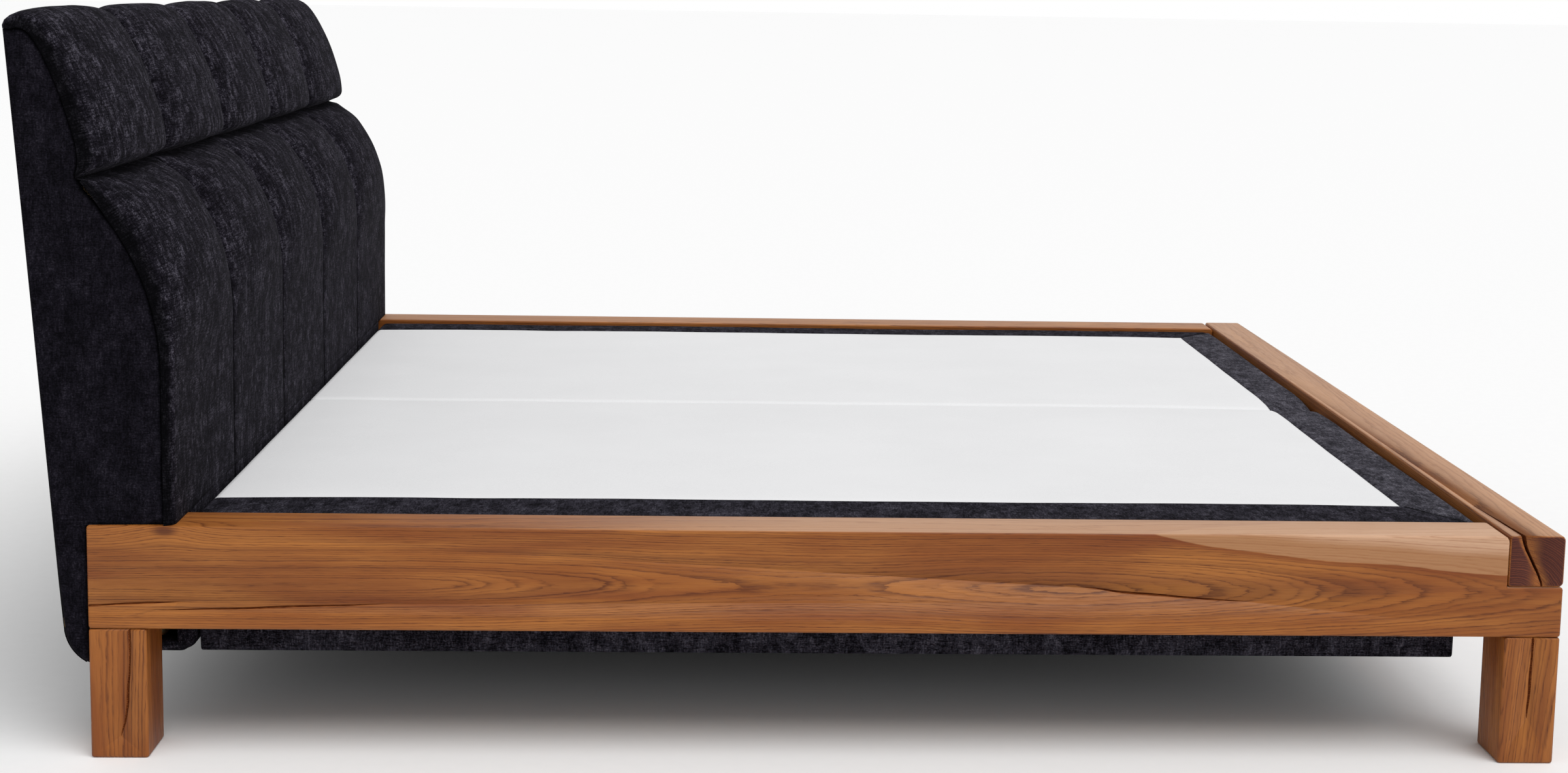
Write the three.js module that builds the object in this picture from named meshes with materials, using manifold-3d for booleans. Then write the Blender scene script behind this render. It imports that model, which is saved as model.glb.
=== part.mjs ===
// Box spring bed: two upholstered spring units lie loose in a timber frame with a channelled headboard.
// Millimetres, +Z up, +X towards the foot end. Left and right are as seen from the foot end.
// Until the last lines, x is 0 at the side rails' head end and y is 0 on the bed's centre line.

import * as THREE from 'three';
import { ConvexGeometry } from 'three/addons/geometries/ConvexGeometry.js';
import { mergeVertices } from 'three/addons/utils/BufferGeometryUtils.js';
import Module from 'manifold-3d';

const wasm = await Module();
wasm.setup();

// Clearances and cutting
const seat = 0.3;
const overrun = 20;
const weld = 1e-4;
const roundSides = 16;
const arcSteps = 5;

// Timber frame
const railThickness = 86;
const railHeight = 158;
const legHeight = 200;
const legLength = 86;
const legDepth = 90;
const footBeamWidth = 86;
const footBeamHeight = 80;
const lapDepth = 79;
const timberEdge = 4;

// Threaded rods that hold the legs to the rails
const rodRadius = 5;
const rodInLeg = 160;
const rodInRail = 100;
const rodInFootBeam = 60;
const boreClearance = 0.5;

// Ledges and centre support
const ledgeClearance = 9;
const ledgeHeight = 35;
const ledgeRise = 36;
const ledgeEndGap = 10;
const centreBeamClearance = 5;
const centreBeamHeight = 45;
const hangerWidth = 56;
const hangerPlate = 4;
const hangerShelf = 42;
const hangerTall = 150;

// Headboard
const headboardInset = 2;
const panelHeight = 517;
const rollHeight = 231;
const backSetback = 26;
const backSlope = 0.0724;
const headboardFront = 127;
const headboardHang = 69;
const bellyRise = 281;
const bellyLip = 14;
const bellyStart = 3;
const rollFront = 14;
const rollTuck = 18;
const channelCount = 5;
const rollCrown = 28;
const bellyCrown = 32;
const coverThickness = 8;
const coverEdge = 13;
const hemRadius = 18;
const hemReturn = 57;
const fabric = 2;
const backCornerRadius = 65;
const backBottomRise = 4;
const sideCoverThickness = 10;
const sideBottomRise = 22;
const railGap = 2;

// Headboard structure
const cheekThickness = 18;
const cheekInset = 14;
const postWidth = 90;
const postTopThickness = 36;
const postStraight = 42;
const postBottomRise = 5;
const postTopShare = 0.8;
const crossRailThickness = 30;
const crossRailHeight = 90;
const middleRailThickness = 22;
const bellyFoam = 40;
const boardThickness = 12;
const ribThickness = 18;
const ribSpread = 660;

// Headboard bolts
const boltRadius = 4;
const boltHeadRadius = 6.5;
const boltHeadHeight = 6;
const boltFlangeRadius = 11;
const boltFlangeThickness = 2.5;
const boltInRail = 45;
const boltLow = 45;
const boltSpacing = 75;
const boltInward = 19;

// Box spring units
const boxLength = 2000;
const boxWidth = 900;
const boxHeight = 230;
const boxHang = 110;
const boxHeadGap = 8;
const boxFootGap = 8;
const boxSideGap = 5;
const boxJointGap = 2;
const sideStep = 34;
const footStep = 25;
const boxShoulder = 14;
const boxCrown = 4;
const borderWidth = 92;
const borderFootWidth = 92;
const topCoverDrop = 20;
const hemWidth = 30;
const baseBoard = 12;
const lowerWall = 22;
const padThickness = 24;
const feltThickness = 4;
const springClearance = 4;

// Derived places in the frame: it is as long and as wide inside as the units and their gaps
const frameLength = headboardFront + boxHeadGap + boxLength + boxFootGap + footBeamWidth;
const railInner = boxJointGap / 2 + boxWidth + boxSideGap;
const halfWidth = railInner + railThickness;
const halfHeadboard = halfWidth - headboardInset;
const railTop = legHeight + railHeight;
const lapTop = railTop - lapDepth;
const footBeamInner = frameLength - footBeamWidth;
const ledgeTop = legHeight + ledgeRise;
const ledgeWidth = boxSideGap + sideStep - ledgeClearance;
const centreBeamWidth = boxJointGap + 2 * (sideStep - centreBeamClearance);
const footBeamTop = lapTop + seat + footBeamHeight;
const legPlaces = { head: legLength / 2, foot: frameLength - legLength / 2 };
const rodAcross = halfWidth - railThickness / 2;

// Materials
function finish(color, roughness, metalness = 0) {
  return new THREE.MeshStandardMaterial({ color, roughness, metalness });
}

const timber = finish(0xa9683a, 0.55);
const batten = finish(0xc9a578, 0.7);
const plywood = finish(0xcbaa7c, 0.75);
const steel = finish(0x8d9094, 0.4, 0.9);
const blackSteel = finish(0x202124, 0.45, 0.8);
const chenille = finish(0x26262e, 0.95);
const ticking = finish(0xe6e7e8, 0.9);
const foam = finish(0xe4dcc0, 0.95);
const felt = finish(0x8c8678, 0.98);
const springCloth = finish(0xd9dadb, 0.95);
const nonWoven = finish(0x17171a, 0.98);

// Solids

function merged(geometry) {
  const bare = geometry.index ? geometry.toNonIndexed() : geometry.clone();
  for (const name of Object.keys(bare.attributes)) if (name !== 'position') bare.deleteAttribute(name);
  return mergeVertices(bare, weld);
}

function toSolid(geometry) {
  const mesh = merged(geometry);
  return new wasm.Manifold(new wasm.Mesh({
    numProp: 3,
    vertProperties: new Float32Array(mesh.attributes.position.array),
    triVerts: new Uint32Array(mesh.index.array),
  }));
}

function toGeometry(solid) {
  const mesh = solid.getMesh();
  const geometry = new THREE.BufferGeometry();
  geometry.setAttribute('position', new THREE.BufferAttribute(new Float32Array(mesh.vertProperties), 3));
  geometry.setIndex(Array.from(mesh.triVerts));
  return geometry;
}

function cut(geometry, ...cutters) {
  return toGeometry(cutters.reduce((solid, cutter) => solid.subtract(toSolid(cutter)), toSolid(geometry)));
}

function join(geometry, other) {
  return toGeometry(toSolid(geometry).add(toSolid(other)));
}

function common(geometry, other) {
  return toGeometry(toSolid(geometry).intersect(toSolid(other)));
}

function flipped(geometry) {
  const turned = merged(geometry);
  const index = turned.index.array;
  for (let i = 0; i < index.length; i += 3) [index[i], index[i + 1]] = [index[i + 1], index[i]];
  return turned;
}

// A copy on the other side of the centre line
function mirrored(geometry) {
  return flipped(geometry.clone().scale(1, -1, 1));
}

// A box given by its lowest and highest corners, grown on every side by grow
function block(low, high, grow = 0) {
  const size = high.map((value, axis) => value - low[axis] + 2 * grow);
  const middle = high.map((value, axis) => (value + low[axis]) / 2);
  return new THREE.BoxGeometry(...size).translate(...middle);
}

// A block with every edge chamfered
function beam(low, high, edge = timberEdge) {
  const points = [];
  for (const x of [0, 1]) {
    for (const y of [0, 1]) {
      for (const z of [0, 1]) {
        const corner = [x, y, z].map((end, axis) => (end ? high[axis] : low[axis]));
        const inward = [x, y, z].map((end) => (end ? -edge : edge));
        for (const flat of [0, 1, 2]) {
          const moved = corner.map((value, axis) => value + (axis === flat ? 0 : inward[axis]));
          points.push(new THREE.Vector3(...moved));
        }
      }
    }
  }
  return new ConvexGeometry(points);
}

// An outline of [x, z] points drawn out across the bed
function across(points, from, to) {
  const shape = new THREE.Shape(points.map(([x, z]) => new THREE.Vector2(x, z)));
  const solid = new THREE.ExtrudeGeometry(shape, { depth: to - from, bevelEnabled: false });
  const turn = new THREE.Matrix4().makeBasis(
    new THREE.Vector3(1, 0, 0), new THREE.Vector3(0, 0, 1), new THREE.Vector3(0, -1, 0));
  return solid.applyMatrix4(turn).translate(0, to, 0);
}

// An outline of [y, z] points drawn out along the bed
function along(points, from, to) {
  const shape = new THREE.Shape(points.map(([y, z]) => new THREE.Vector2(y, z)));
  const solid = new THREE.ExtrudeGeometry(shape, { depth: to - from, bevelEnabled: false });
  const turn = new THREE.Matrix4().makeBasis(
    new THREE.Vector3(0, 1, 0), new THREE.Vector3(0, 0, 1), new THREE.Vector3(1, 0, 0));
  return solid.applyMatrix4(turn).translate(from, 0, 0);
}

function upright(radius, x, y, low, high) {
  return new THREE.CylinderGeometry(radius, radius, high - low, roundSides)
    .rotateX(Math.PI / 2).translate(x, y, (low + high) / 2);
}

// Closes two grids of points that face each other into one shell
function shell(outer, inner) {
  const lastRow = outer.length - 1;
  const lastPlace = outer[0].length - 1;
  const positions = [...outer.flat(), ...inner.flat()].flatMap((point) => point.toArray());
  const at = (layer, row, place) => (layer * (lastRow + 1) + row) * (lastPlace + 1) + place;
  const index = [];
  const quad = (a, b, c, d) => index.push(a, b, c, a, c, d);
  for (let row = 0; row < lastRow; row += 1) {
    for (let place = 0; place < lastPlace; place += 1) {
      quad(at(0, row, place), at(0, row, place + 1), at(0, row + 1, place + 1), at(0, row + 1, place));
      quad(at(1, row, place), at(1, row + 1, place), at(1, row + 1, place + 1), at(1, row, place + 1));
    }
  }
  for (let place = 0; place < lastPlace; place += 1) {
    quad(at(0, 0, place), at(1, 0, place), at(1, 0, place + 1), at(0, 0, place + 1));
    quad(at(0, lastRow, place), at(0, lastRow, place + 1), at(1, lastRow, place + 1), at(1, lastRow, place));
  }
  for (let row = 0; row < lastRow; row += 1) {
    quad(at(0, row, 0), at(0, row + 1, 0), at(1, row + 1, 0), at(1, row, 0));
    quad(at(0, row, lastPlace), at(1, row, lastPlace), at(1, row + 1, lastPlace), at(0, row + 1, lastPlace));
  }
  const geometry = new THREE.BufferGeometry();
  geometry.setAttribute('position', new THREE.Float32BufferAttribute(positions, 3));
  geometry.setIndex(index);
  return outward(geometry);
}

// Turns a closed geometry's faces outward where they point in
function outward(geometry) {
  const { position } = geometry.attributes;
  const corner = (i) => new THREE.Vector3().fromBufferAttribute(position, geometry.index.getX(i));
  let volume = 0;
  for (let i = 0; i < geometry.index.count; i += 3) {
    volume += corner(i).dot(corner(i + 1).cross(corner(i + 2)));
  }
  return volume < 0 ? flipped(geometry) : geometry;
}

function smooth(low, high, value) {
  const share = Math.min(Math.max((value - low) / (high - low), 0), 1);
  return share * share * (3 - 2 * share);
}

// Timber frame: right-hand pieces, with the left-hand ones as their mirror images

function bore(x, low, high) {
  return upright(rodRadius + boreClearance, x, rodAcross, low, high);
}

function sideRail() {
  const whole = beam([0, railInner, legHeight], [frameLength, halfWidth, railTop]);
  const lap = block(
    [footBeamInner - seat, railInner - overrun, lapTop],
    [frameLength + overrun, halfWidth + overrun, railTop + overrun]);
  return cut(
    whole, lap,
    bore(legPlaces.head, legHeight - overrun, legHeight + rodInRail + seat),
    bore(legPlaces.foot, legHeight - overrun, railTop),
    ...boltPlaces.map((height) => boltBore(height)));
}

function footBeam() {
  const low = lapTop + seat;
  const holeTop = low + rodInFootBeam + seat;
  const whole = beam([footBeamInner, -halfWidth, low], [frameLength, halfWidth, footBeamTop]);
  const right = bore(legPlaces.foot, low - overrun, holeTop);
  return cut(whole, right, mirrored(right));
}

function leg(x) {
  const whole = beam(
    [x - legLength / 2, halfWidth - legDepth, 0], [x + legLength / 2, halfWidth, legHeight - seat]);
  return cut(whole, bore(x, legHeight - rodInLeg - seat, legHeight + overrun));
}

function legRod(x, top) {
  return upright(rodRadius, x, rodAcross, legHeight - rodInLeg, top);
}

function ledge() {
  const outer = railInner - seat;
  return block(
    [headboardFront + ledgeEndGap, outer - ledgeWidth, ledgeTop - ledgeHeight],
    [footBeamInner - ledgeEndGap, outer, ledgeTop]);
}

const centreBeamLow = ledgeTop - centreBeamHeight;
const headHangerFace = headboardFront + seat;
const footHangerFace = footBeamInner - seat;

function centreBeam() {
  return block(
    [headHangerFace + hangerPlate + seat, -centreBeamWidth / 2, centreBeamLow],
    [footHangerFace - hangerPlate - seat, centreBeamWidth / 2, ledgeTop]);
}

function centreLeg() {
  const x = (headboardFront + footBeamInner) / 2;
  return beam(
    [x - centreBeamWidth / 2, -centreBeamWidth / 2, 0],
    [x + centreBeamWidth / 2, centreBeamWidth / 2, centreBeamLow - seat]);
}

// An angle: a plate against the face at x, and a shelf under the centre beam that runs the given way
function hanger(x, way) {
  const shelfTop = centreBeamLow - seat;
  const shelfLow = shelfTop - hangerPlate;
  const outline = [
    [x, shelfLow],
    [x + way * hangerShelf, shelfLow],
    [x + way * hangerShelf, shelfTop],
    [x + way * hangerPlate, shelfTop],
    [x + way * hangerPlate, shelfLow + hangerTall],
    [x, shelfLow + hangerTall],
  ];
  return across(outline, -hangerWidth / 2, hangerWidth / 2);
}

// Headboard outlines

const backAt = (height) => -backSetback - backSlope * height;
const backTurn = Math.atan(backSlope);
const backNormal = new THREE.Vector2(-Math.cos(backTurn), -Math.sin(backTurn));
const channelWidth = 2 * halfHeadboard / channelCount;
const waistHeight = railTop + panelHeight;
const headboardTop = waistHeight + rollHeight;
const headboardBottom = legHeight - headboardHang;
const rollBack = backAt(headboardTop);
const rollDepth = rollFront - rollBack;
const tuckX = rollFront - rollTuck;
const backBottom = headboardBottom + backBottomRise;
const backCornerZ = backBottom + backCornerRadius;
const backCornerX = backAt(backCornerZ) + backCornerRadius;
const boardBack = fabric + seat;

// The upper roll from its back hem over the top to the waist crease: shares of its depth, height and crown
const rollShares = [
  [0.03, 0.82, 0],
  [0.035, 0.93, 0.15],
  [0.2, 1, 0.46],
  [0.42, 0.945, 0.65],
  [0.66, 0.723, 0.85],
  [0.86, 0.433, 1],
  [0.98, 0.195, 1],
  [0.975, 0.07, 0.8],
  [1 - rollTuck / rollDepth, 0.001, 0],
];
const rollRowShares = [0, 0.06, 0.13, 0.2, 0.29, 0.4, 0.52, 0.65, 0.77, 0.86, 0.92, 0.96, 1];

// Rows are { x, z, crown }, x and z being the seam line's
function rollRows() {
  const curve = new THREE.CatmullRomCurve3(rollShares.map(([deep, high, crown]) => new THREE.Vector3(
    rollBack + deep * rollDepth, waistHeight + high * rollHeight, crown * rollCrown)));
  return rollRowShares.map((share) => {
    const point = curve.getPointAt(share);
    return { x: point.x, z: point.y, crown: point.z };
  });
}

const bellyTop = waistHeight - bellyStart;
const bellyHeight = bellyTop - bellyRise;
const bellyDepth = headboardFront - tuckX - bellyLip;
const bellyRadius = (bellyRise ** 2 + bellyDepth ** 2) / (2 * bellyDepth);
const bellyCentre = headboardFront - bellyRadius;
const bellyAngle = Math.asin(bellyRise / bellyRadius);
const bellyArcShares = [1, 0.94, 0.86, 0.74, 0.58, 0.38, 0.18, 0];
const bellyCrownShares = [0.4, 0.75, 1, 1, 1, 0.85, 0.5, 0.18];
const plainShare = 0.55;
const creaseShare = 0.002;
const hemShares = [0, 0.5, 1];

// The row at an angle on a circle round a centre, facing away from it
function roundRow(x, z, radius, angle, crown) {
  const nx = Math.cos(angle);
  const nz = Math.sin(angle);
  return { x: x + radius * nx, z: z + radius * nz, crown, nx, nz };
}

// The lower panel from the waist crease over the belly and down to the hem under the bottom edge
function bellyRows() {
  const crease = roundRow(0, 0, 0, bellyAngle, 0);
  const rows = [{ ...crease, x: tuckX, z: waistHeight - creaseShare * rollHeight }];
  bellyArcShares.forEach((share, i) => {
    const crown = bellyCrown * bellyCrownShares[i];
    rows.push(roundRow(bellyCentre, bellyHeight, bellyRadius, share * bellyAngle, crown));
  });
  const plainZ = railTop + (bellyHeight - railTop) * (1 - plainShare);
  rows.push({ x: headboardFront, z: plainZ, crown: 0, nx: 1, nz: 0 });
  for (const share of hemShares) {
    const angle = -share * Math.PI / 2;
    rows.push(roundRow(headboardFront - hemRadius, headboardBottom + hemRadius, hemRadius, angle, 0));
  }
  rows.push({ x: headboardFront - hemReturn, z: headboardBottom, crown: 0, nx: 0, nz: -1 });
  return rows;
}

// The outward normal at each row, for rows that run over the top and down the front
function withNormals(rows) {
  return rows.map((row, i) => {
    const before = rows[Math.max(i - 1, 0)];
    const after = rows[Math.min(i + 1, rows.length - 1)];
    const run = new THREE.Vector2(after.x - before.x, after.z - before.z).normalize();
    return { ...row, nx: -run.y, nz: run.x };
  });
}

const roll = withNormals(rollRows());
const belly = bellyRows();

// A row's point moved inward by depth, never upward
const inset = (row, depth) => [row.x - row.nx * depth, row.z - Math.max(row.nz, 0) * depth];

// As inset, but for the hem, which moves upward as well
const insetAll = (row, depth) => [row.x - row.nx * depth, row.z - row.nz * depth];

// Places across the width, closer together at the seams and at the outer edges
const channelShares = [0, 0.06, 0.19, 0.375, 0.625, 0.81, 0.94];
const edgeShares = [0, 0.3, 1];

function columns() {
  const places = edgeShares.map((share) => -halfHeadboard + share * coverEdge);
  for (let channel = 0; channel < channelCount; channel += 1) {
    const seam = -halfHeadboard + channel * channelWidth;
    for (const share of channelShares) places.push(seam + share * channelWidth);
  }
  places.push(...edgeShares.map((share) => halfHeadboard - share * coverEdge));
  const apart = coverEdge * edgeShares[1] / 2;
  return places.sort((a, b) => a - b).filter((place, i, all) => i === 0 || place - all[i - 1] > apart);
}

const crownPower = 2.4;
const crownEase = 0.85;

// How full a channel is at y: 0 at its seams and 1 in its middle
function channelCrown(y) {
  const place = (y + halfHeadboard) / channelWidth;
  const channel = Math.min(Math.floor(place), channelCount - 1);
  const offCentre = Math.abs(2 * (place - channel) - 1);
  return (1 - Math.min(offCentre, 1) ** crownPower) ** crownEase;
}

function edgeDrop(y) {
  const inside = Math.min(halfHeadboard - Math.abs(y), coverEdge);
  return coverEdge - Math.sqrt(coverEdge ** 2 - (coverEdge - inside) ** 2);
}

// A quilted cover: channelled outside, plain inside. lift says how far a row's crown may rise or fall.
function quilted(rows, lift) {
  const places = columns();
  const shrink = (halfHeadboard - coverEdge) / halfHeadboard;
  const outer = rows.map((row) => places.map((y) => {
    const [x, z] = inset(row, edgeDrop(y));
    const crown = row.crown * channelCrown(y);
    return new THREE.Vector3(x + row.nx * crown, y, z + lift(row) * crown);
  }));
  const inner = rows.map((row) => {
    const moved = row.nz < 0 && row.z < bellyHeight ? insetAll : inset;
    const [x, z] = moved(row, coverThickness);
    return places.map((y) => new THREE.Vector3(x, y * shrink, z));
  });
  return shell(outer, inner);
}

// What the side rails and legs take out of the headboard's lower corners
function railCutters(gap = 0) {
  const inner = halfWidth - Math.max(railThickness, legDepth) - railGap;
  const right = block(
    [-seat, inner - gap, -overrun], [headboardFront + overrun, halfWidth + overrun, railTop + seat]);
  return [right, mirrored(right)];
}

function coverUpper() {
  return quilted(roll, (row) => Math.max(row.nz, 0));
}

const creaseReach = 60;

function coverLower() {
  const lift = (row) => row.nz * smooth(0, creaseReach, waistHeight - row.z);
  return cut(quilted(belly, lift), ...railCutters());
}

// The lower back corner's outline, wide and tall as said, from one right angle to another from +X towards +Z
function backCorner(wide, tall, from, to) {
  return Array.from({ length: arcSteps + 1 }, (_, i) => {
    const angle = (from + (to - from) * i / arcSteps) * Math.PI / 2;
    return [backCornerX + wide * Math.cos(angle), backCornerZ + tall * Math.sin(angle)];
  });
}

// The back skin: down the leaning back, round the lower corner and forward to the hem
function backCover() {
  const top = roll[0].z - seat;
  const hemEnd = headboardFront - hemReturn - seat;
  const points = [
    [backAt(top), top],
    ...backCorner(backCornerRadius, backCornerRadius, 2, 3),
    [hemEnd, backBottom],
    [hemEnd, backBottom + fabric],
    ...backCorner(backCornerRadius - fabric, backCornerRadius - fabric, 3, 2),
    [backAt(top) + fabric, top],
  ];
  const half = halfHeadboard - sideCoverThickness - seat;
  const bolts = boltPlaces.map((height) => boltBore(height));
  return cut(across(points, -half, half), ...railCutters(), ...bolts, ...bolts.map(mirrored));
}

// The side outline, moved inward by depth from the covers' seam line and by back from the leaning back
function sideOutline(depth, back) {
  const bottom = headboardBottom + sideBottomRise;
  const front = [...roll, ...belly].filter((row) => row.z > railTop).map((row) => inset(row, depth));
  const hem = roll[0].z - seat;
  return [
    ...front,
    [headboardFront - depth, bottom],
    ...backCorner(backCornerRadius - back, backCornerZ - bottom, 3, 2),
    [backAt(hem) + back, hem],
    [backAt(hem) + depth, hem],
  ];
}

function sidePlate(outline, from, to) {
  return cut(across(outline, from, to), railCutters()[0]);
}

function sideCover() {
  return sidePlate(sideOutline(coverEdge + 2 * seat, 0), halfHeadboard - sideCoverThickness, halfHeadboard);
}

const cheekOuter = halfHeadboard - sideCoverThickness - seat;
const cheekInner = cheekOuter - cheekThickness;

function cheek() {
  return sidePlate(sideOutline(cheekInset, boardBack), cheekInner, cheekOuter);
}

const postBottom = backCornerZ + postBottomRise;
const postTop = waistHeight + postTopShare * rollHeight;
const postOuter = cheekInner - seat;
const postInner = postOuter - postWidth;

function post(grow = 0) {
  const outline = [
    [backAt(postBottom) + boardBack - grow, postBottom - grow],
    [-2 * seat + grow, postBottom - grow],
    [-2 * seat + grow, railTop + postStraight],
    [backAt(postTop) + boardBack + postTopThickness + grow, postTop + grow],
    [backAt(postTop) + boardBack - grow, postTop + grow],
  ];
  return across(outline, postInner - grow, postOuter + grow);
}

function boredPost() {
  return cut(post(), ...boltPlaces.map((height) => boltBore(height)));
}

// A cross rail that lies against the back, between the posts
function crossRail(low, thickness, height, grow = 0) {
  const front = boardBack + thickness;
  const outline = [
    [backAt(low) + boardBack - grow, low - grow],
    [backAt(low) + front + grow, low - grow],
    [backAt(low + height) + front + grow, low + height + grow],
    [backAt(low + height) + boardBack - grow, low + height + grow],
  ];
  return across(outline, -postInner + seat - grow, postInner - seat + grow);
}

const topRail = (grow) => crossRail(postTop - crossRailHeight, crossRailThickness, crossRailHeight, grow);
const bottomRail = (grow) => crossRail(postBottom, crossRailThickness, crossRailHeight, grow);
const middleRailLow = waistHeight - middleRailThickness / 2;
const middleRailDepth = tuckX - coverThickness - backAt(middleRailLow) - boardBack;
const middleRail = (grow) => crossRail(middleRailLow, middleRailDepth, middleRailThickness, grow);

function foamUpper() {
  const depth = coverThickness + seat;
  const low = middleRailLow + middleRailThickness + seat;
  const points = roll.map((row) => inset(row, depth));
  const front = points.filter(([, z]) => z > low);
  const below = points.find(([, z], i) => i >= front.length && z <= low);
  const outline = [
    ...front,
    [below[0], low],
    [backAt(low) + boardBack, low],
    [backAt(front[0][1]) + boardBack, front[0][1]],
  ];
  const whole = across(outline, -cheekInner + seat, cheekInner - seat);
  return cut(whole, post(seat), mirrored(post(seat)), topRail(seat));
}

// Points that run down the lower panel, depth behind its seam line, to the height low
function bellyLine(depth, low) {
  const arc = bellyArcShares.map((share) => {
    const row = roundRow(bellyCentre, bellyHeight, bellyRadius - depth, share * bellyAngle, 0);
    return [row.x, row.z];
  });
  return [...arc, [headboardFront - depth, low]];
}

// A band that follows the lower panel between two depths behind its seam line
function bellyBand(from, to) {
  const low = headboardBottom + hemRadius;
  const outline = [...bellyLine(from, low), ...bellyLine(to, low).reverse()];
  return across(outline, -cheekInner + seat, cheekInner - seat);
}

function foamLower() {
  const from = coverThickness + seat;
  return cut(bellyBand(from, from + bellyFoam), ...railCutters(seat));
}

const boardFront = coverThickness + bellyFoam + 2 * seat;

function frontBoard() {
  return cut(bellyBand(boardFront, boardFront + boardThickness), ...railCutters(seat));
}

// Where a line of points that runs downward, or its first stretch drawn on, passes a height
function crossing(points, height) {
  const next = Math.max(points.findIndex(([, z]) => z <= height), 1);
  const [above, below] = [points[next - 1], points[next]];
  const share = (above[1] - height) / (above[1] - below[1]);
  return [above[0] + (below[0] - above[0]) * share, height];
}

// A rib from the front board to the back, between the bottom and the middle rail
function rib() {
  const depth = boardFront + boardThickness + seat;
  const low = postBottom + crossRailHeight + seat;
  const high = middleRailLow - seat;
  const front = bellyLine(depth, low);
  const outline = [
    [backAt(high) + boardBack, high],
    crossing(front, high),
    ...front.filter(([, z]) => z < high),
    [backAt(low) + boardBack, low],
  ];
  return across(outline, (ribSpread - ribThickness) / 2, (ribSpread + ribThickness) / 2);
}

// Headboard bolts: square to the leaning back, through the back skin and post into the rail's head end

const boltPlaces = [legHeight + boltLow, legHeight + boltLow + boltSpacing];
const boltAcross = railInner + railThickness / 2 - boltInward;

function boltAligned(geometry, height) {
  const turn = new THREE.Matrix4().makeBasis(
    new THREE.Vector3(backNormal.y, 0, -backNormal.x),
    new THREE.Vector3(-backNormal.x, 0, -backNormal.y),
    new THREE.Vector3(0, 1, 0));
  return outward(merged(geometry.applyMatrix4(turn).translate(backAt(height), boltAcross, height)));
}

const boltReach = (height) => boltInRail - backAt(height);

function boltBore(height) {
  const length = boltReach(height) + seat + overrun;
  const radius = boltRadius + boreClearance;
  const hole = new THREE.CylinderGeometry(radius, radius, length, roundSides);
  return boltAligned(hole.translate(0, length / 2 - overrun, 0), height);
}

function bolt(height) {
  const flangeLow = -seat - boltFlangeThickness;
  const headLow = flangeLow - boltHeadHeight;
  const profile = [
    [0, headLow],
    [boltHeadRadius, headLow],
    [boltHeadRadius, flangeLow],
    [boltFlangeRadius, flangeLow],
    [boltFlangeRadius, -seat],
    [boltRadius, -seat],
    [boltRadius, boltReach(height)],
    [0, boltReach(height)],
  ].map(([radius, place]) => new THREE.Vector2(radius, place));
  return boltAligned(new THREE.LatheGeometry(profile, roundSides), height);
}

// Box spring unit on the right-hand side

const skin = fabric + seat;
const boxHead = headboardFront + boxHeadGap;
const boxFoot = boxHead + boxLength;
const boxInner = boxJointGap / 2;
const boxOuter = boxInner + boxWidth;
const stepHeight = ledgeTop + seat;
const boxBottom = stepHeight - boxHang;
const boxTop = boxBottom + boxHeight;
const coreHead = boxHead + skin;
const coreFoot = boxFoot - skin;
const coreInner = boxInner + skin;
const coreOuter = boxOuter - skin;
const coreStep = stepHeight + skin;
const coreBottom = boxBottom + skin;
const beamLow = coreBottom + baseBoard + seat;
const beamTop = boxTop - skin - boxCrown - padThickness - feltThickness - 2 * seat;
const wallOuter = coreOuter - sideStep - lowerWall;
const wallInner = coreInner + sideStep + lowerWall;
const wallHead = coreHead + lowerWall;
const wallFoot = coreFoot - footStep - lowerWall;

// Places along one side of the unit's top, as depths from the edge while they run round its shoulder
const shoulderShares = [0, 0.12, 0.4, 1];
const topShares = [0.25, 0.5, 0.75];

function topPlaces(low, high) {
  const run = high - low - 2 * boxShoulder;
  return [
    ...shoulderShares.map((share) => low + share * boxShoulder),
    ...topShares.map((share) => low + boxShoulder + share * run),
    ...shoulderShares.map((share) => high - share * boxShoulder).reverse(),
  ];
}

function shoulderDrop(inside) {
  const left = Math.max(boxShoulder - inside, 0);
  return boxShoulder - Math.sqrt(boxShoulder ** 2 - left ** 2);
}

// The top is flat in the middle and falls a little towards its edges
const crownFlatShare = 0.5;
const crownFallPower = 2;
const edgeFall = (share) => (Math.max(share - crownFlatShare, 0) / (1 - crownFlatShare)) ** crownFallPower;

// The unit's outer form, grown from its frame and pad by grow
function unitForm(grow) {
  const [x0, x1, y0, y1] = [coreHead - grow, coreFoot + grow, coreInner - grow, coreOuter + grow];
  const top = topPlaces(x0, x1).map((x) => topPlaces(y0, y1).map((y) => {
    const lengthShare = Math.abs(2 * (x - x0) / (x1 - x0) - 1);
    const widthShare = Math.abs(2 * (y - y0) / (y1 - y0) - 1);
    const fall = boxCrown * edgeFall(Math.max(lengthShare, widthShare));
    const shoulder = Math.max(shoulderDrop(Math.min(x - x0, x1 - x)), shoulderDrop(Math.min(y - y0, y1 - y)));
    return new THREE.Vector3(x, y, boxTop - skin + grow - fall - shoulder);
  }));
  const under = top.map((row) => row.map((point) => point.clone().setZ(coreStep - grow)));
  const lower = block(
    [x0, y0 + sideStep, coreBottom - grow], [x1 - footStep, y1 - sideStep, coreStep + overrun]);
  return join(shell(top, under), lower);
}

const unitSkin = () => cut(unitForm(skin), unitForm(seat));

// The part of the skin that the white cover takes up
function topWindow(grow = 0) {
  const low = boxTop - boxShoulder - topCoverDrop;
  return block(
    [boxHead - overrun, boxInner - overrun, low],
    [boxFoot - borderFootWidth, boxOuter - borderWidth, boxTop + overrun], grow);
}

function bottomWindow(grow = 0) {
  return block(
    [boxHead + hemWidth, boxInner + sideStep + hemWidth, boxBottom - overrun],
    [boxFoot - footStep - hemWidth, boxOuter - sideStep - hemWidth, boxBottom + fabric + seat / 2], grow);
}

const borderCover = () => cut(unitSkin(), topWindow(seat / 2), bottomWindow());
const topCover = () => common(unitSkin(), topWindow(-seat / 2));

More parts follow.
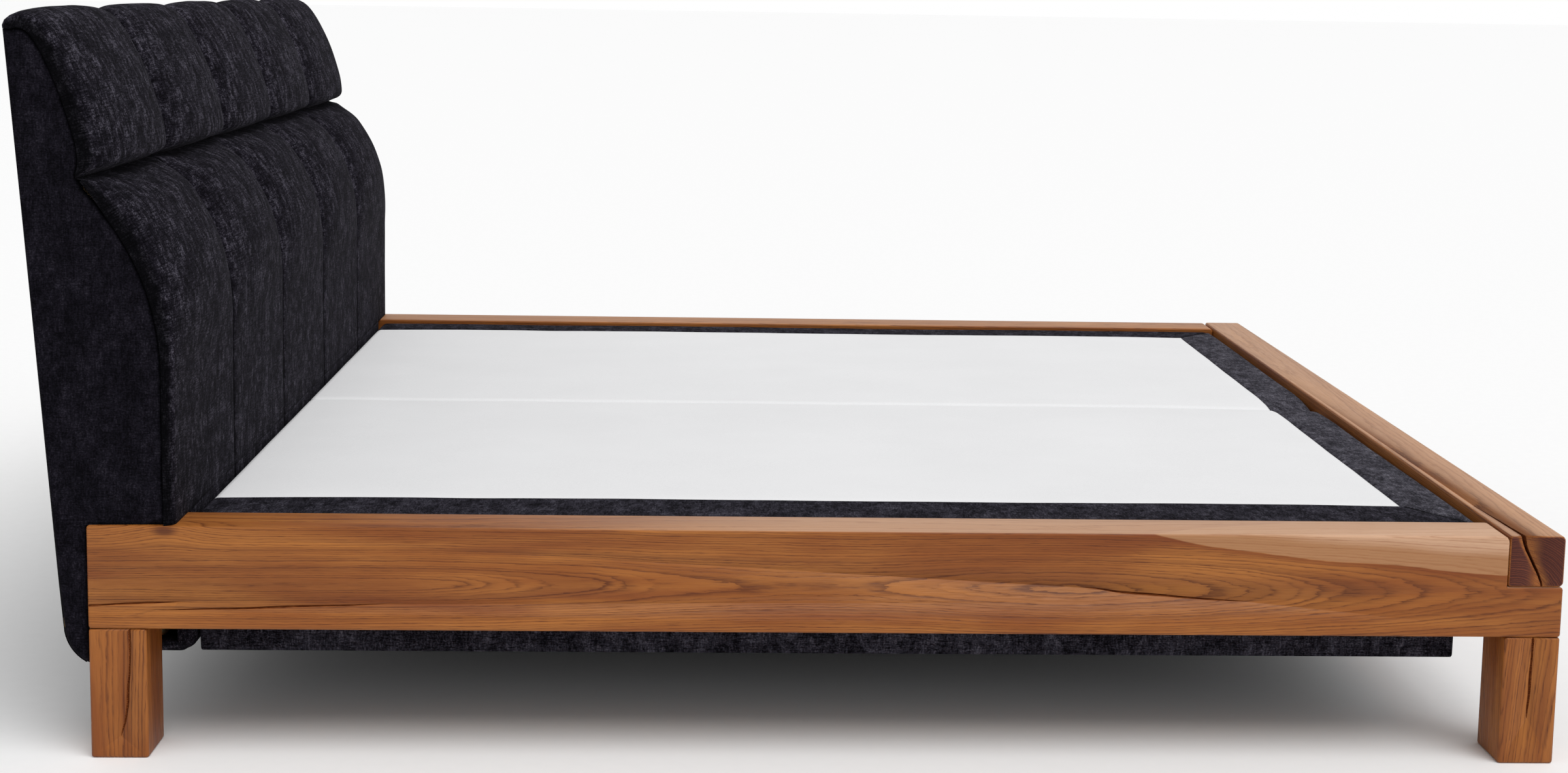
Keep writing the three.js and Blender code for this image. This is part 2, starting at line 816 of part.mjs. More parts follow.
function dustCover() {
  return block(
    [boxHead + hemWidth + seat, boxInner + sideStep + hemWidth + seat, boxBottom],
    [boxFoot - footStep - hemWidth - seat, boxOuter - sideStep - hemWidth - seat, boxBottom + fabric]);
}

function basePanel() {
  return block(
    [coreHead, coreInner + sideStep, coreBottom],
    [coreFoot - footStep, coreOuter - sideStep, coreBottom + baseBoard]);
}

function footCutter() {
  return block(
    [coreFoot - footStep, coreInner - overrun, beamLow - overrun],
    [coreFoot + overrun, coreOuter + overrun, coreStep]);
}

// A long beam with a rebate that lies on the ledge or on the centre beam
function longBeam(outerFace, stepFace, innerFace) {
  const outline = [
    [outerFace, beamTop],
    [outerFace, coreStep],
    [stepFace, coreStep],
    [stepFace, beamLow],
    [innerFace, beamLow],
    [innerFace, beamTop],
  ];
  return cut(along(outline, coreHead, coreFoot), footCutter());
}

const outerBeam = () => longBeam(coreOuter, coreOuter - sideStep, wallOuter);
const innerBeam = () => longBeam(coreInner, coreInner + sideStep, wallInner);

function headBeam() {
  return block([coreHead, wallInner + seat, beamLow], [wallHead, wallOuter - seat, beamTop]);
}

function footEndBeam() {
  const outline = [
    [wallFoot, beamLow],
    [wallFoot + lowerWall, beamLow],
    [wallFoot + lowerWall, coreStep],
    [coreFoot, coreStep],
    [coreFoot, beamTop],
    [wallFoot, beamTop],
  ];
  return across(outline, wallInner + seat, wallOuter - seat);
}

function springCore() {
  return block(
    [wallHead + springClearance, wallInner + springClearance, beamLow],
    [wallFoot - springClearance, wallOuter - springClearance, beamTop]);
}

function feltPad() {
  return block([coreHead, coreInner, beamTop + seat], [coreFoot, coreOuter, beamTop + seat + feltThickness]);
}

function foamPad() {
  const low = beamTop + feltThickness + 2 * seat;
  return common(unitForm(0), block([0, 0, low], [frameLength, halfWidth, boxTop]));
}

// Assembly

const bed = new THREE.Group();
const timberFrame = new THREE.Group();
const headboard = new THREE.Group();
const leftBox = new THREE.Group();
const rightBox = new THREE.Group();
bed.add(timberFrame, headboard, leftBox, rightBox);

function place(group, name, geometry, material) {
  const mesh = new THREE.Mesh(geometry, material);
  mesh.name = name;
  group.add(mesh);
}

function placePair(group, name, geometry, material) {
  place(group, `${name}_right`, geometry, material);
  place(group, `${name}_left`, mirrored(geometry), material);
}

placePair(timberFrame, 'side_rail', sideRail(), timber);
place(timberFrame, 'foot_beam', footBeam(), timber);
for (const [end, middle] of Object.entries(legPlaces)) {
  placePair(timberFrame, `leg_${end}`, leg(middle), timber);
}
placePair(timberFrame, 'leg_rod_head', legRod(legPlaces.head, legHeight + rodInRail), steel);
placePair(timberFrame, 'leg_rod_foot', legRod(legPlaces.foot, lapTop + seat + rodInFootBeam), steel);
placePair(timberFrame, 'ledge', ledge(), batten);
place(timberFrame, 'centre_beam', centreBeam(), batten);
place(timberFrame, 'centre_leg', centreLeg(), timber);
place(timberFrame, 'centre_hanger_head', hanger(headHangerFace, 1), blackSteel);
place(timberFrame, 'centre_hanger_foot', hanger(footHangerFace, -1), blackSteel);

placePair(headboard, 'headboard_post', boredPost(), batten);
placePair(headboard, 'headboard_cheek', cheek(), plywood);
placePair(headboard, 'headboard_rib', rib(), plywood);
place(headboard, 'headboard_top_rail', topRail(), batten);
place(headboard, 'headboard_middle_rail', middleRail(), batten);
place(headboard, 'headboard_bottom_rail', bottomRail(), batten);
place(headboard, 'headboard_front_board', frontBoard(), plywood);
place(headboard, 'headboard_foam_upper', foamUpper(), foam);
place(headboard, 'headboard_foam_lower', foamLower(), foam);
place(headboard, 'headboard_cover_upper', coverUpper(), chenille);
place(headboard, 'headboard_cover_lower', coverLower(), chenille);
placePair(headboard, 'headboard_side_cover', sideCover(), chenille);
place(headboard, 'headboard_back_cover', backCover(), chenille);
placePair(headboard, 'headboard_bolt_lower', bolt(boltPlaces[0]), blackSteel);
placePair(headboard, 'headboard_bolt_upper', bolt(boltPlaces[1]), blackSteel);

const unitPieces = [
  ['base_board', basePanel(), plywood],
  ['outer_beam', outerBeam(), batten],
  ['inner_beam', innerBeam(), batten],
  ['head_beam', headBeam(), batten],
  ['foot_beam', footEndBeam(), batten],
  ['spring_core', springCore(), springCloth],
  ['felt_pad', feltPad(), felt],
  ['foam_pad', foamPad(), foam],
  ['border_cover', borderCover(), chenille],
  ['top_cover', topCover(), ticking],
  ['dust_cover', dustCover(), nonWoven],
];
for (const [name, geometry, material] of unitPieces) {
  place(rightBox, `box_right_${name}`, geometry, material);
  place(leftBox, `box_left_${name}`, mirrored(geometry), material);
}

// The origin is on the floor, under the middle of the bed
const extent = new THREE.Box3().setFromObject(bed);
bed.position.x = -(extent.min.x + extent.max.x) / 2;

export default bed;
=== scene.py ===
# Box spring bed: the finish of every surface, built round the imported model.
# Metres, +Z up, +X towards the foot end. The side nearest the camera is -Y and is called left.

import math

import bmesh
import bpy
import numpy as np
from mathutils import Matrix, Vector, noise


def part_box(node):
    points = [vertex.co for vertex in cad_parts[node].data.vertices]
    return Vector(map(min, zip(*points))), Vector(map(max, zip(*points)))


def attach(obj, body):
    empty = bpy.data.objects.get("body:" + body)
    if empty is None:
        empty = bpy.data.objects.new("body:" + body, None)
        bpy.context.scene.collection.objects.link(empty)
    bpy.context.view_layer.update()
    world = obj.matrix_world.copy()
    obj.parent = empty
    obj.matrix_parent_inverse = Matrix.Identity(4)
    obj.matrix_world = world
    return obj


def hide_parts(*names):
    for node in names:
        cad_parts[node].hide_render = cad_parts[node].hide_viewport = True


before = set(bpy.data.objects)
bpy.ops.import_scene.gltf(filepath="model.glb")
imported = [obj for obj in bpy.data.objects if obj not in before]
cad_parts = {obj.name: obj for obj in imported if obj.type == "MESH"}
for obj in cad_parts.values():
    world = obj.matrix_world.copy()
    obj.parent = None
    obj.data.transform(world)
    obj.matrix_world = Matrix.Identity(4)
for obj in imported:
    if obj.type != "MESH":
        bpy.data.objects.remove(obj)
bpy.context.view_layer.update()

# Places that come from the frame
rail_low, rail_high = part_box("side_rail_right")
beam_low, beam_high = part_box("foot_beam")
leg_low, leg_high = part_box("leg_head_right")
unit_low, unit_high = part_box("box_right_border_cover")
white_low, white_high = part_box("box_right_top_cover")
dust_low, dust_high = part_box("box_right_dust_cover")
side_beam_low, side_beam_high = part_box("box_right_outer_beam")
side_low, side_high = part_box("headboard_side_cover_right")
back_low, back_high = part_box("headboard_back_cover")
HEAD_X = rail_low.x
RAIL_TOP = rail_high.z
HALF_BOARD = side_high.y

# Timber
TIMBER_EDGE = 0.005
END_EDGE = 0.004
LAP_CORNER = 0.010
BEAM_CORNER = 0.008
EDGE_STEPS = 4
FLAT_RIM = 0.0006
LAP_DEPTH = 0.079
SEAT = 0.0003
ROD_RADIUS = 0.0055
ROD_SIDES = 20

# Headboard
PANEL_HEIGHT = 0.517
ROLL_HEIGHT = 0.231
BACK_SETBACK = 0.026
BACK_SLOPE = 0.0724
BOARD_FRONT = 0.127
BELLY_RISE = 0.281
BELLY_LIP = 0.014
BELLY_START = 0.003
ROLL_FRONT = 0.014
ROLL_TUCK = 0.018
CHANNELS = 5
ROLL_CROWN = 0.029
BELLY_CROWN = 0.032
COVER_THICKNESS = 0.008
COVER_EDGE = 0.013
SEAM_PUFF = 0.003
SEAM_REACH = 0.006
ROLL_ROUND = 0.036
BELLY_ROUND = 0.055
CREASE_SIDE = 0.013
PILLOW_ROUND = 0.058
NOTCH_ROUND = 0.046
NOTCH_DEPTH = 0.008
NOTCH_SHARE = 0.3
RIM_TURN = 0.0015
LIP_FACING = -0.1
CREASE_REACH = 0.06
HEM_RADIUS = 0.018
HEM_RETURN = 0.057
SKIRT_CORNER = 0.022
BACK_CORNER = 0.065
SIDE_THICKNESS = 0.010
SIDE_EDGE = 0.007
SIDE_WRAP = 0.013
SIDE_PUFF = 0.0025
SIDE_PUFF_REACH = 0.09
FABRIC = 0.002
ROW_STEP = 0.007
COLUMNS_PER_CHANNEL = 38

# Box spring units
BOX_HANG = 0.110
DUST_INSET = 0.0303
SHOULDER = 0.014
LOWER_EDGE = 0.0035
UNIT_CROWN = 0.004
UNIT_STEP = 0.025
JOINT_FALL = 0.003
JOINT_REACH = 0.022
JOINT_START = 0.25
CORNER_FALL = 0.013
CORNER_FALL_NEAR = 0.004
CORNER_REACH = 0.08
FALL_REACH = 0.06
MITRE_STEPS = 24
SEAM_GROOVE = 0.0022
SEAM_WIDTH = 0.004
MITRE_SHARPNESS = 1.7
NEAR_BAND_EXTRA = 0.024
COVER_GAUGE = 0.0016

# Shares of the roll's depth, height and crown, from its back hem over the top to the waist
ROLL_SHARES = (
    (0.02, 0.935, 0),
    (0.03, 0.968, 0.15),
    (0.2, 1, 0.46),
    (0.42, 0.945, 0.65),
    (0.66, 0.723, 0.85),
    (0.86, 0.433, 1),
    (0.98, 0.195, 1),
    (0.975, 0.07, 1),
)
BELLY_ARC_SHARES = (0, 0.18, 0.38, 0.58, 0.8, 1)
BELLY_CROWN_SHARES = (0.07, 0.45, 0.85, 1, 1, 1)
PLAIN_SHARE = 0.55

WAIST = RAIL_TOP + PANEL_HEIGHT
BOARD_TOP = WAIST + ROLL_HEIGHT
BOARD_BOTTOM = back_low.z - 0.004
TUCK_X = ROLL_FRONT - ROLL_TUCK
CHANNEL = 2 * HALF_BOARD / CHANNELS


# Meshes

def make_object(name, mesh, material=None):
    obj = bpy.data.objects.new(name, mesh)
    bpy.context.scene.collection.objects.link(obj)
    if material:
        mesh.materials.append(material)
    return obj


def mesh_object(name, points, faces, material=None, smooth=True):
    """A mesh from points and faces, its faces turned outward."""
    mesh = bpy.data.meshes.new(name)
    mesh.from_pydata([tuple(map(float, p)) for p in points], [], [tuple(map(int, f)) for f in faces])
    shape = bmesh.new()
    shape.from_mesh(mesh)
    bmesh.ops.recalc_face_normals(shape, faces=shape.faces)
    for face in shape.faces:
        face.smooth = smooth
    shape.to_mesh(mesh)
    shape.free()
    mesh.update()
    return make_object(name, mesh, material)


def grid_faces(rows, columns, start=0):
    """The quads of a grid of points kept row by row."""
    at = start + np.arange(rows * columns).reshape(rows, columns)
    quads = np.stack([at[:-1, :-1], at[:-1, 1:], at[1:, 1:], at[1:, :-1]], axis=-1)
    return quads.reshape(-1, 4)


def set_weave(obj, values):
    """Stores where each point lies on the cloth, in metres across and along it."""
    attribute = obj.data.attributes.new("weave", "FLOAT_VECTOR", "POINT")
    attribute.data.foreach_set("vector", np.asarray(values, np.float32).ravel())


def shell(name, outer, inner, material=None, weave=None):
    """Two grids of points that face each other, closed into one body."""
    rows, columns = outer.shape[:2]
    count = rows * columns
    faces = [grid_faces(rows, columns), grid_faces(rows, columns, count)[:, ::-1]]
    at = np.arange(count).reshape(rows, columns)
    for rim in (at[0], at[-1][::-1], at[:, 0][::-1], at[:, -1]):
        faces.append(np.stack([rim[:-1] + count, rim[1:] + count, rim[1:], rim[:-1]], axis=-1))
    points = np.concatenate([outer.reshape(-1, 3), inner.reshape(-1, 3)])
    obj = mesh_object(name, points, np.concatenate(faces), material)
    if weave is not None:
        flat = np.asarray(weave).reshape(-1, 3)
        set_weave(obj, np.concatenate([flat, flat]))
    return obj


def block_surface(places):
    """The points and faces of a block's surface, divided at the given places along each axis."""
    last = [len(p) - 1 for p in places]
    numbers = {}
    points = []

    def number(place):
        if place not in numbers:
            numbers[place] = len(points)
            points.append([places[axis][i] for axis, i in enumerate(place)])
        return numbers[place]

    faces = []
    for axis in range(3):
        a, b = (axis + 1) % 3, (axis + 2) % 3
        for end in (0, last[axis]):
            for i in range(last[a]):
                for j in range(last[b]):
                    corners = []
                    for di, dj in ((0, 0), (1, 0), (1, 1), (0, 1)):
                        place = [0, 0, 0]
                        place[axis], place[a], place[b] = end, i + di, j + dj
                        corners.append(number(tuple(place)))
                    faces.append(corners if end else corners[::-1])
    return np.array(points), faces


def edge_places(low, high, radius, step, extra=()):
    """Places along one side of a rounded block: close together on its edges, and step apart between them."""
    turns = [radius * (1 - math.tan(i * math.pi / 4 / EDGE_STEPS)) for i in range(EDGE_STEPS, -1, -1)]
    turns.append(radius + FLAT_RIM)
    count = max(int((high - low - 2 * radius) / step), 1)
    between = np.linspace(low + turns[-1], high - turns[-1], count + 1)
    return np.unique(np.round([*(low + t for t in turns), *between, *(high - t for t in turns), *extra], 7))


def rounded(points, low, high, radius):
    """Points of a block's surface, moved in where they lie near its edges."""
    inner = np.clip(points, np.array(low) + radius, np.array(high) - radius)
    away = points - inner
    return inner + away / np.linalg.norm(away, axis=1, keepdims=True) * radius


def rounded_block(name, low, high, radius, step, material=None):
    places = [edge_places(a, b, radius, step) for a, b in zip(low, high)]
    points, faces = block_surface(places)
    return mesh_object(name, rounded(points, low, high, radius), faces, material)


def rounded_outline(corners):
    """Corners (a, b, radius) of an outline, with each corner drawn as an arc."""
    points = []
    for i, (a, b, radius) in enumerate(corners):
        here = np.array([a, b])
        before = np.array(corners[i - 1][:2]) - here
        after = np.array(corners[(i + 1) % len(corners)][:2]) - here
        before, after = before / np.linalg.norm(before), after / np.linalg.norm(after)
        for step in range(EDGE_STEPS + 1):
            angle = step / EDGE_STEPS * math.pi / 2
            points.append(here + radius * ((1 - math.sin(angle)) * before + (1 - math.cos(angle)) * after))
    return np.array(points)


def inward(points):
    """The inward direction at each point of an outline that runs anticlockwise."""
    run = np.roll(points, -1, axis=0) - points
    run /= np.linalg.norm(run, axis=1, keepdims=True)
    side = np.stack([-run[:, 1], run[:, 0]], axis=1)
    both = side + np.roll(side, 1, axis=0)
    both /= np.linalg.norm(both, axis=1, keepdims=True)
    return both / np.sum(both * side, axis=1, keepdims=True)


def timber(name, outline, axis, start, end, material, edge=END_EDGE):
    """A beam: an outline drawn out along an axis, with rounded edges at both ends."""
    turn = [(edge * (1 - math.cos(a)), edge * (1 - math.sin(a)))
            for a in np.linspace(math.pi / 2, 0, EDGE_STEPS + 1)]
    turn.insert(0, (edge + FLAT_RIM, 0))
    rings = [(inset, start + deep) for inset, deep in turn] + [(inset, end - deep) for inset, deep in turn[::-1]]
    normals = inward(outline)
    order = {0: (2, 0, 1), 1: (0, 2, 1), 2: (0, 1, 2)}[axis]
    points = []
    for inset, place in rings:
        for a, b in outline + normals * inset:
            values = (a, b, place)
            points.append([values[i] for i in order])
    count = len(outline)
    faces = []
    for ring in range(len(rings) - 1):
        for i in range(count):
            j = (i + 1) % count
            faces.append([ring * count + i, ring * count + j, (ring + 1) * count + j, (ring + 1) * count + i])
    faces.append(list(range(count))[::-1])
    faces.append([(len(rings) - 1) * count + i for i in range(count)])
    mesh = bpy.data.meshes.new(name)
    mesh.from_pydata([tuple(map(float, p)) for p in points], [], faces)
    shape = bmesh.new()
    shape.from_mesh(mesh)
    bmesh.ops.recalc_face_normals(shape, faces=shape.faces)
    for face in shape.faces:
        face.smooth = True
    shape.to_mesh(mesh)
    shape.free()
    return make_object(name, mesh, material)


def apply_modifiers(obj):
    """Leaves the object with the mesh that its modifiers give."""
    graph = bpy.context.evaluated_depsgraph_get()
    made = bpy.data.meshes.new_from_object(obj.evaluated_get(graph))
    obj.modifiers.clear()
    obj.data = made


def cut_away(obj, cutters):
    """Takes the cutters out of the object and deletes them."""
    for cutter in cutters:
        modifier = obj.modifiers.new("cut", "BOOLEAN")
        modifier.operation = "DIFFERENCE"
        modifier.solver = "EXACT"
        modifier.material_mode = "TRANSFER"
        modifier.object = cutter
    bpy.context.view_layer.update()
    apply_modifiers(obj)
    for cutter in cutters:
        bpy.data.objects.remove(cutter)


def crack(path, into, width, depth, ends=(0, 0), swell=0.2, margin=0.004, steps=28, seed=0.0):
    """A wedge along a path on a surface. ends are the shares of the width left at its two ends."""
    path = [Vector(p) for p in path]
    into = Vector(into).normalized()
    places = []
    for i in range(steps + 1):
        share = i / steps
        place = share * (len(path) - 1)
        k = min(int(place), len(path) - 2)
        places.append(path[k].lerp(path[k + 1], place - k))
    points = []
    for i, place in enumerate(places):
        share = i / steps
        run = (places[min(i + 1, steps)] - places[max(i - 1, 0)]).normalized()
        side = run.cross(into).normalized()
        taper = math.sin(math.pi * share) ** 0.6
        half = width / 2 * max(taper, ends[0] * (1 - share), ends[1] * share, 0.03)
        half *= 1 + swell * noise.noise(Vector((share * 9, seed, 0)))
        place = place + side * width * 0.3 * noise.noise(Vector((share * 4, seed, 5)))
        deep = depth * max(taper, ends[0] * (1 - share), ends[1] * share, 0.06)
        lean = side * width * 0.25 * noise.noise(Vector((share * 5, seed, 9)))
        for offset in (side * half - into * margin, side * half,
                       into * deep + lean, -side * half, -side * half - into * margin):
            points.append(place + offset)
    faces = []
    for i in range(steps):
        for k in range(5):
            n = (k + 1) % 5
            faces.append([i * 5 + k, i * 5 + n, (i + 1) * 5 + n, (i + 1) * 5 + k])
    faces.append([0, 1, 2, 3, 4][::-1])
    faces.append([steps * 5 + k for k in range(5)])
    return mesh_object("cutter", points, faces, crack_shade_material, smooth=False)


def rod_bore(x, y, low, high):
    """A round cutter for a threaded rod."""
    mesh = bpy.data.meshes.new("cutter")
    shape = bmesh.new()
    bmesh.ops.create_cone(shape, cap_ends=True, segments=ROD_SIDES, radius1=ROD_RADIUS, radius2=ROD_RADIUS,
                          depth=high - low, matrix=Matrix.Translation((x, y, (low + high) / 2)))
    shape.to_mesh(mesh)
    shape.free()
    return make_object("cutter", mesh)


# Materials

def linear(red, green, blue):
    """A colour given in sRGB from 0 to 255, as the linear values that a shader takes."""
    values = [c / 255 for c in (red, green, blue)]
    return [c / 12.92 if c <= 0.04045 else ((c + 0.055) / 1.055) ** 2.4 for c in values] + [1]


class Tree:
    """A material's node tree, with one call for each node."""

    def __init__(self, name, roughness, specular=0.5):
        self.material = bpy.data.materials.new(name)
        self.material.use_nodes = True
        self.nodes = self.material.node_tree.nodes
        self.links = self.material.node_tree.links
        self.shader = self.nodes["Principled BSDF"]
        self.shader.inputs["Roughness"].default_value = roughness
        self.shader.inputs["Specular IOR Level"].default_value = specular

    def put(self, socket, value):
        if isinstance(value, bpy.types.NodeSocket):
            self.links.new(value, socket)
        else:
            socket.default_value = value

    def place(self):
        """Where a point is, in metres in the bed's own frame."""
        return self.nodes.new("ShaderNodeTexCoord").outputs["Object"]

    def facing(self):
        """The direction that the surface faces in the bed's own frame."""
        return self.nodes.new("ShaderNodeTexCoord").outputs["Normal"]

    def weave(self):
        node = self.nodes.new("ShaderNodeAttribute")
        node.attribute_name = "weave"
        return node.outputs["Vector"]

    def math(self, operation, *values, clamp=False):
        node = self.nodes.new("ShaderNodeMath")
        node.operation = operation
        node.use_clamp = clamp
        for socket, value in zip(node.inputs, values):
            self.put(socket, value)
        return node.outputs[0]

    def vector(self, operation, *values):
        node = self.nodes.new("ShaderNodeVectorMath")
        node.operation = operation
        for socket, value in zip(node.inputs, values):
            self.put(socket, value)
        return node.outputs["Value" if operation in ("LENGTH", "DOT_PRODUCT") else "Vector"]

    def part(self, value, axis):
        node = self.nodes.new("ShaderNodeSeparateXYZ")
        self.put(node.inputs[0], value)
        return node.outputs[axis]

    def join(self, *values):
        node = self.nodes.new("ShaderNodeCombineXYZ")
        for socket, value in zip(node.inputs, values):
            self.put(socket, value)
        return node.outputs[0]

    def noise(self, at, scale, detail=2.0, roughness=0.5, distortion=0.0, output="Fac"):
        node = self.nodes.new("ShaderNodeTexNoise")
        self.put(node.inputs["Vector"], self.vector("MULTIPLY", at, scale))
        node.inputs["Scale"].default_value = 1
        node.inputs["Detail"].default_value = detail
        node.inputs["Roughness"].default_value = roughness
        node.inputs["Distortion"].default_value = distortion
        return node.outputs[output]

    def cells(self, at, scale, output="Distance"):
        node = self.nodes.new("ShaderNodeTexVoronoi")
        self.put(node.inputs["Vector"], self.vector("MULTIPLY", at, scale))
        node.inputs["Scale"].default_value = 1
        return node.outputs[output]

    def spread(self, value, low, high, to_low=0.0, to_high=1.0, smooth=True):
        """The value's place between low and high, eased, as a place between to_low and to_high."""
        node = self.nodes.new("ShaderNodeMapRange")
        node.interpolation_type = "SMOOTHSTEP" if smooth else "LINEAR"
        for socket, entry in zip(node.inputs, (value, low, high, to_low, to_high)):
            self.put(socket, entry)
        return node.outputs[0]

    def ramp(self, value, stops):
        node = self.nodes.new("ShaderNodeValToRGB")
        self.put(node.inputs[0], value)
        elements = node.color_ramp.elements
        while len(elements) < len(stops):
            elements.new(0.5)
        for element, (place, colour) in zip(elements, stops):
            element.position = place
            element.color = colour if hasattr(colour, "__len__") else (colour, colour, colour, 1)
        return node.outputs["Color"]

    def curve(self, value, low, high, points):
        """A smooth curve through (place, height) points, places running from low to high."""
        node = self.nodes.new("ShaderNodeFloatCurve")
        heights = [h for _, h in points]
        bottom, top = min(heights), max(heights)
        self.put(node.inputs["Value"], self.spread(value, low, high, smooth=False))
        curve = node.mapping.curves[0]
        while len(curve.points) < len(points):
            curve.points.new(0.5, 0.5)
        for point, (place, height) in zip(curve.points, points):
            point.location = ((place - low) / (high - low), (height - bottom) / (top - bottom))
        node.mapping.update()
        return self.math("MULTIPLY_ADD", node.outputs[0], top - bottom, bottom)

    def mix(self, share, first, second, blend="MIX"):
        node = self.nodes.new("ShaderNodeMix")
        node.data_type = "RGBA"
        node.blend_type = blend
        self.put(node.inputs["Factor"], share)
        self.put(node.inputs["A"], first)
        self.put(node.inputs["B"], second)
        return node.outputs["Result"]

    def bump(self, height, distance, strength=1.0, before=None):
        node = self.nodes.new("ShaderNodeBump")
        node.inputs["Strength"].default_value = strength
        node.inputs["Distance"].default_value = distance
        self.put(node.inputs["Height"], height)
        if before is not None:
            self.put(node.inputs["Normal"], before)
        return node.outputs[0]

    def finish(self, colour, normal=None, roughness=None):
        self.put(self.shader.inputs["Base Color"], colour)
        if normal is not None:
            self.put(self.shader.inputs["Normal"], normal)
        if roughness is not None:
            self.put(self.shader.inputs["Roughness"], roughness)
        return self.material


OAK_DARK = linear(78, 31, 8)
OAK_MID = linear(144, 80, 30)
OAK_LIGHT = linear(176, 110, 49)
OAK_RED = linear(120, 55, 18)
OAK_SAP = linear(174, 127, 88)
# Pale oak: the sapwood's palest part, and also the painted highlight on top faces.
OAK_PALE_SAP_AND_TOP_HIGHLIGHT = linear(208, 168, 137)
OAK_END = linear(68, 22, 9)
OAK_END_LIGHT = linear(122, 60, 34)
# Colours of the cracks' insides, darker than the oak: painted shade.
CRACK_SHADE_DARK = linear(84, 36, 13)
CRACK_SHADE_LIGHT = linear(138, 76, 36)
RING = 0.0034


def along_grain(axis, across, along):
    """Noise scales of a wood whose fibres run along an axis."""
    scale = [across] * 3
    scale[axis] = along
    return scale


def ring_radius(t, place, along, axis, pith, tilt, depth, knots):
    """The distance from the pith line, and the darkness of the knots."""
    centre = t.vector("MULTIPLY_ADD", t.join(along, along, along), tilt, pith)
    off = t.vector("SUBTRACT", place, centre)
    if depth:
        off = t.vector("ADD", off, t.join(0, t.curve(along, depth[0][0], depth[-1][0], depth), 0))
    radius = t.vector("LENGTH", t.vector("MULTIPLY", off, along_grain(axis, 1.0, 0.0)))
    dark_knot = None
    for knot, size in knots:
        reach = t.vector("LENGTH", t.vector("MULTIPLY", t.vector("SUBTRACT", place, knot), (0.45, 0.6, 1)))
        square = t.math("POWER", t.math("DIVIDE", reach, size * 2.2), 2)
        pull = t.math("POWER", math.e, t.math("MULTIPLY", square, -1))
        radius = t.math("ADD", radius, t.math("MULTIPLY", pull, -size * 1.1))
        spot = t.spread(reach, size * 0.2, size, 1, 0)
        dark_knot = spot if dark_knot is None else t.math("MAXIMUM", dark_knot, spot)
    return radius, dark_knot


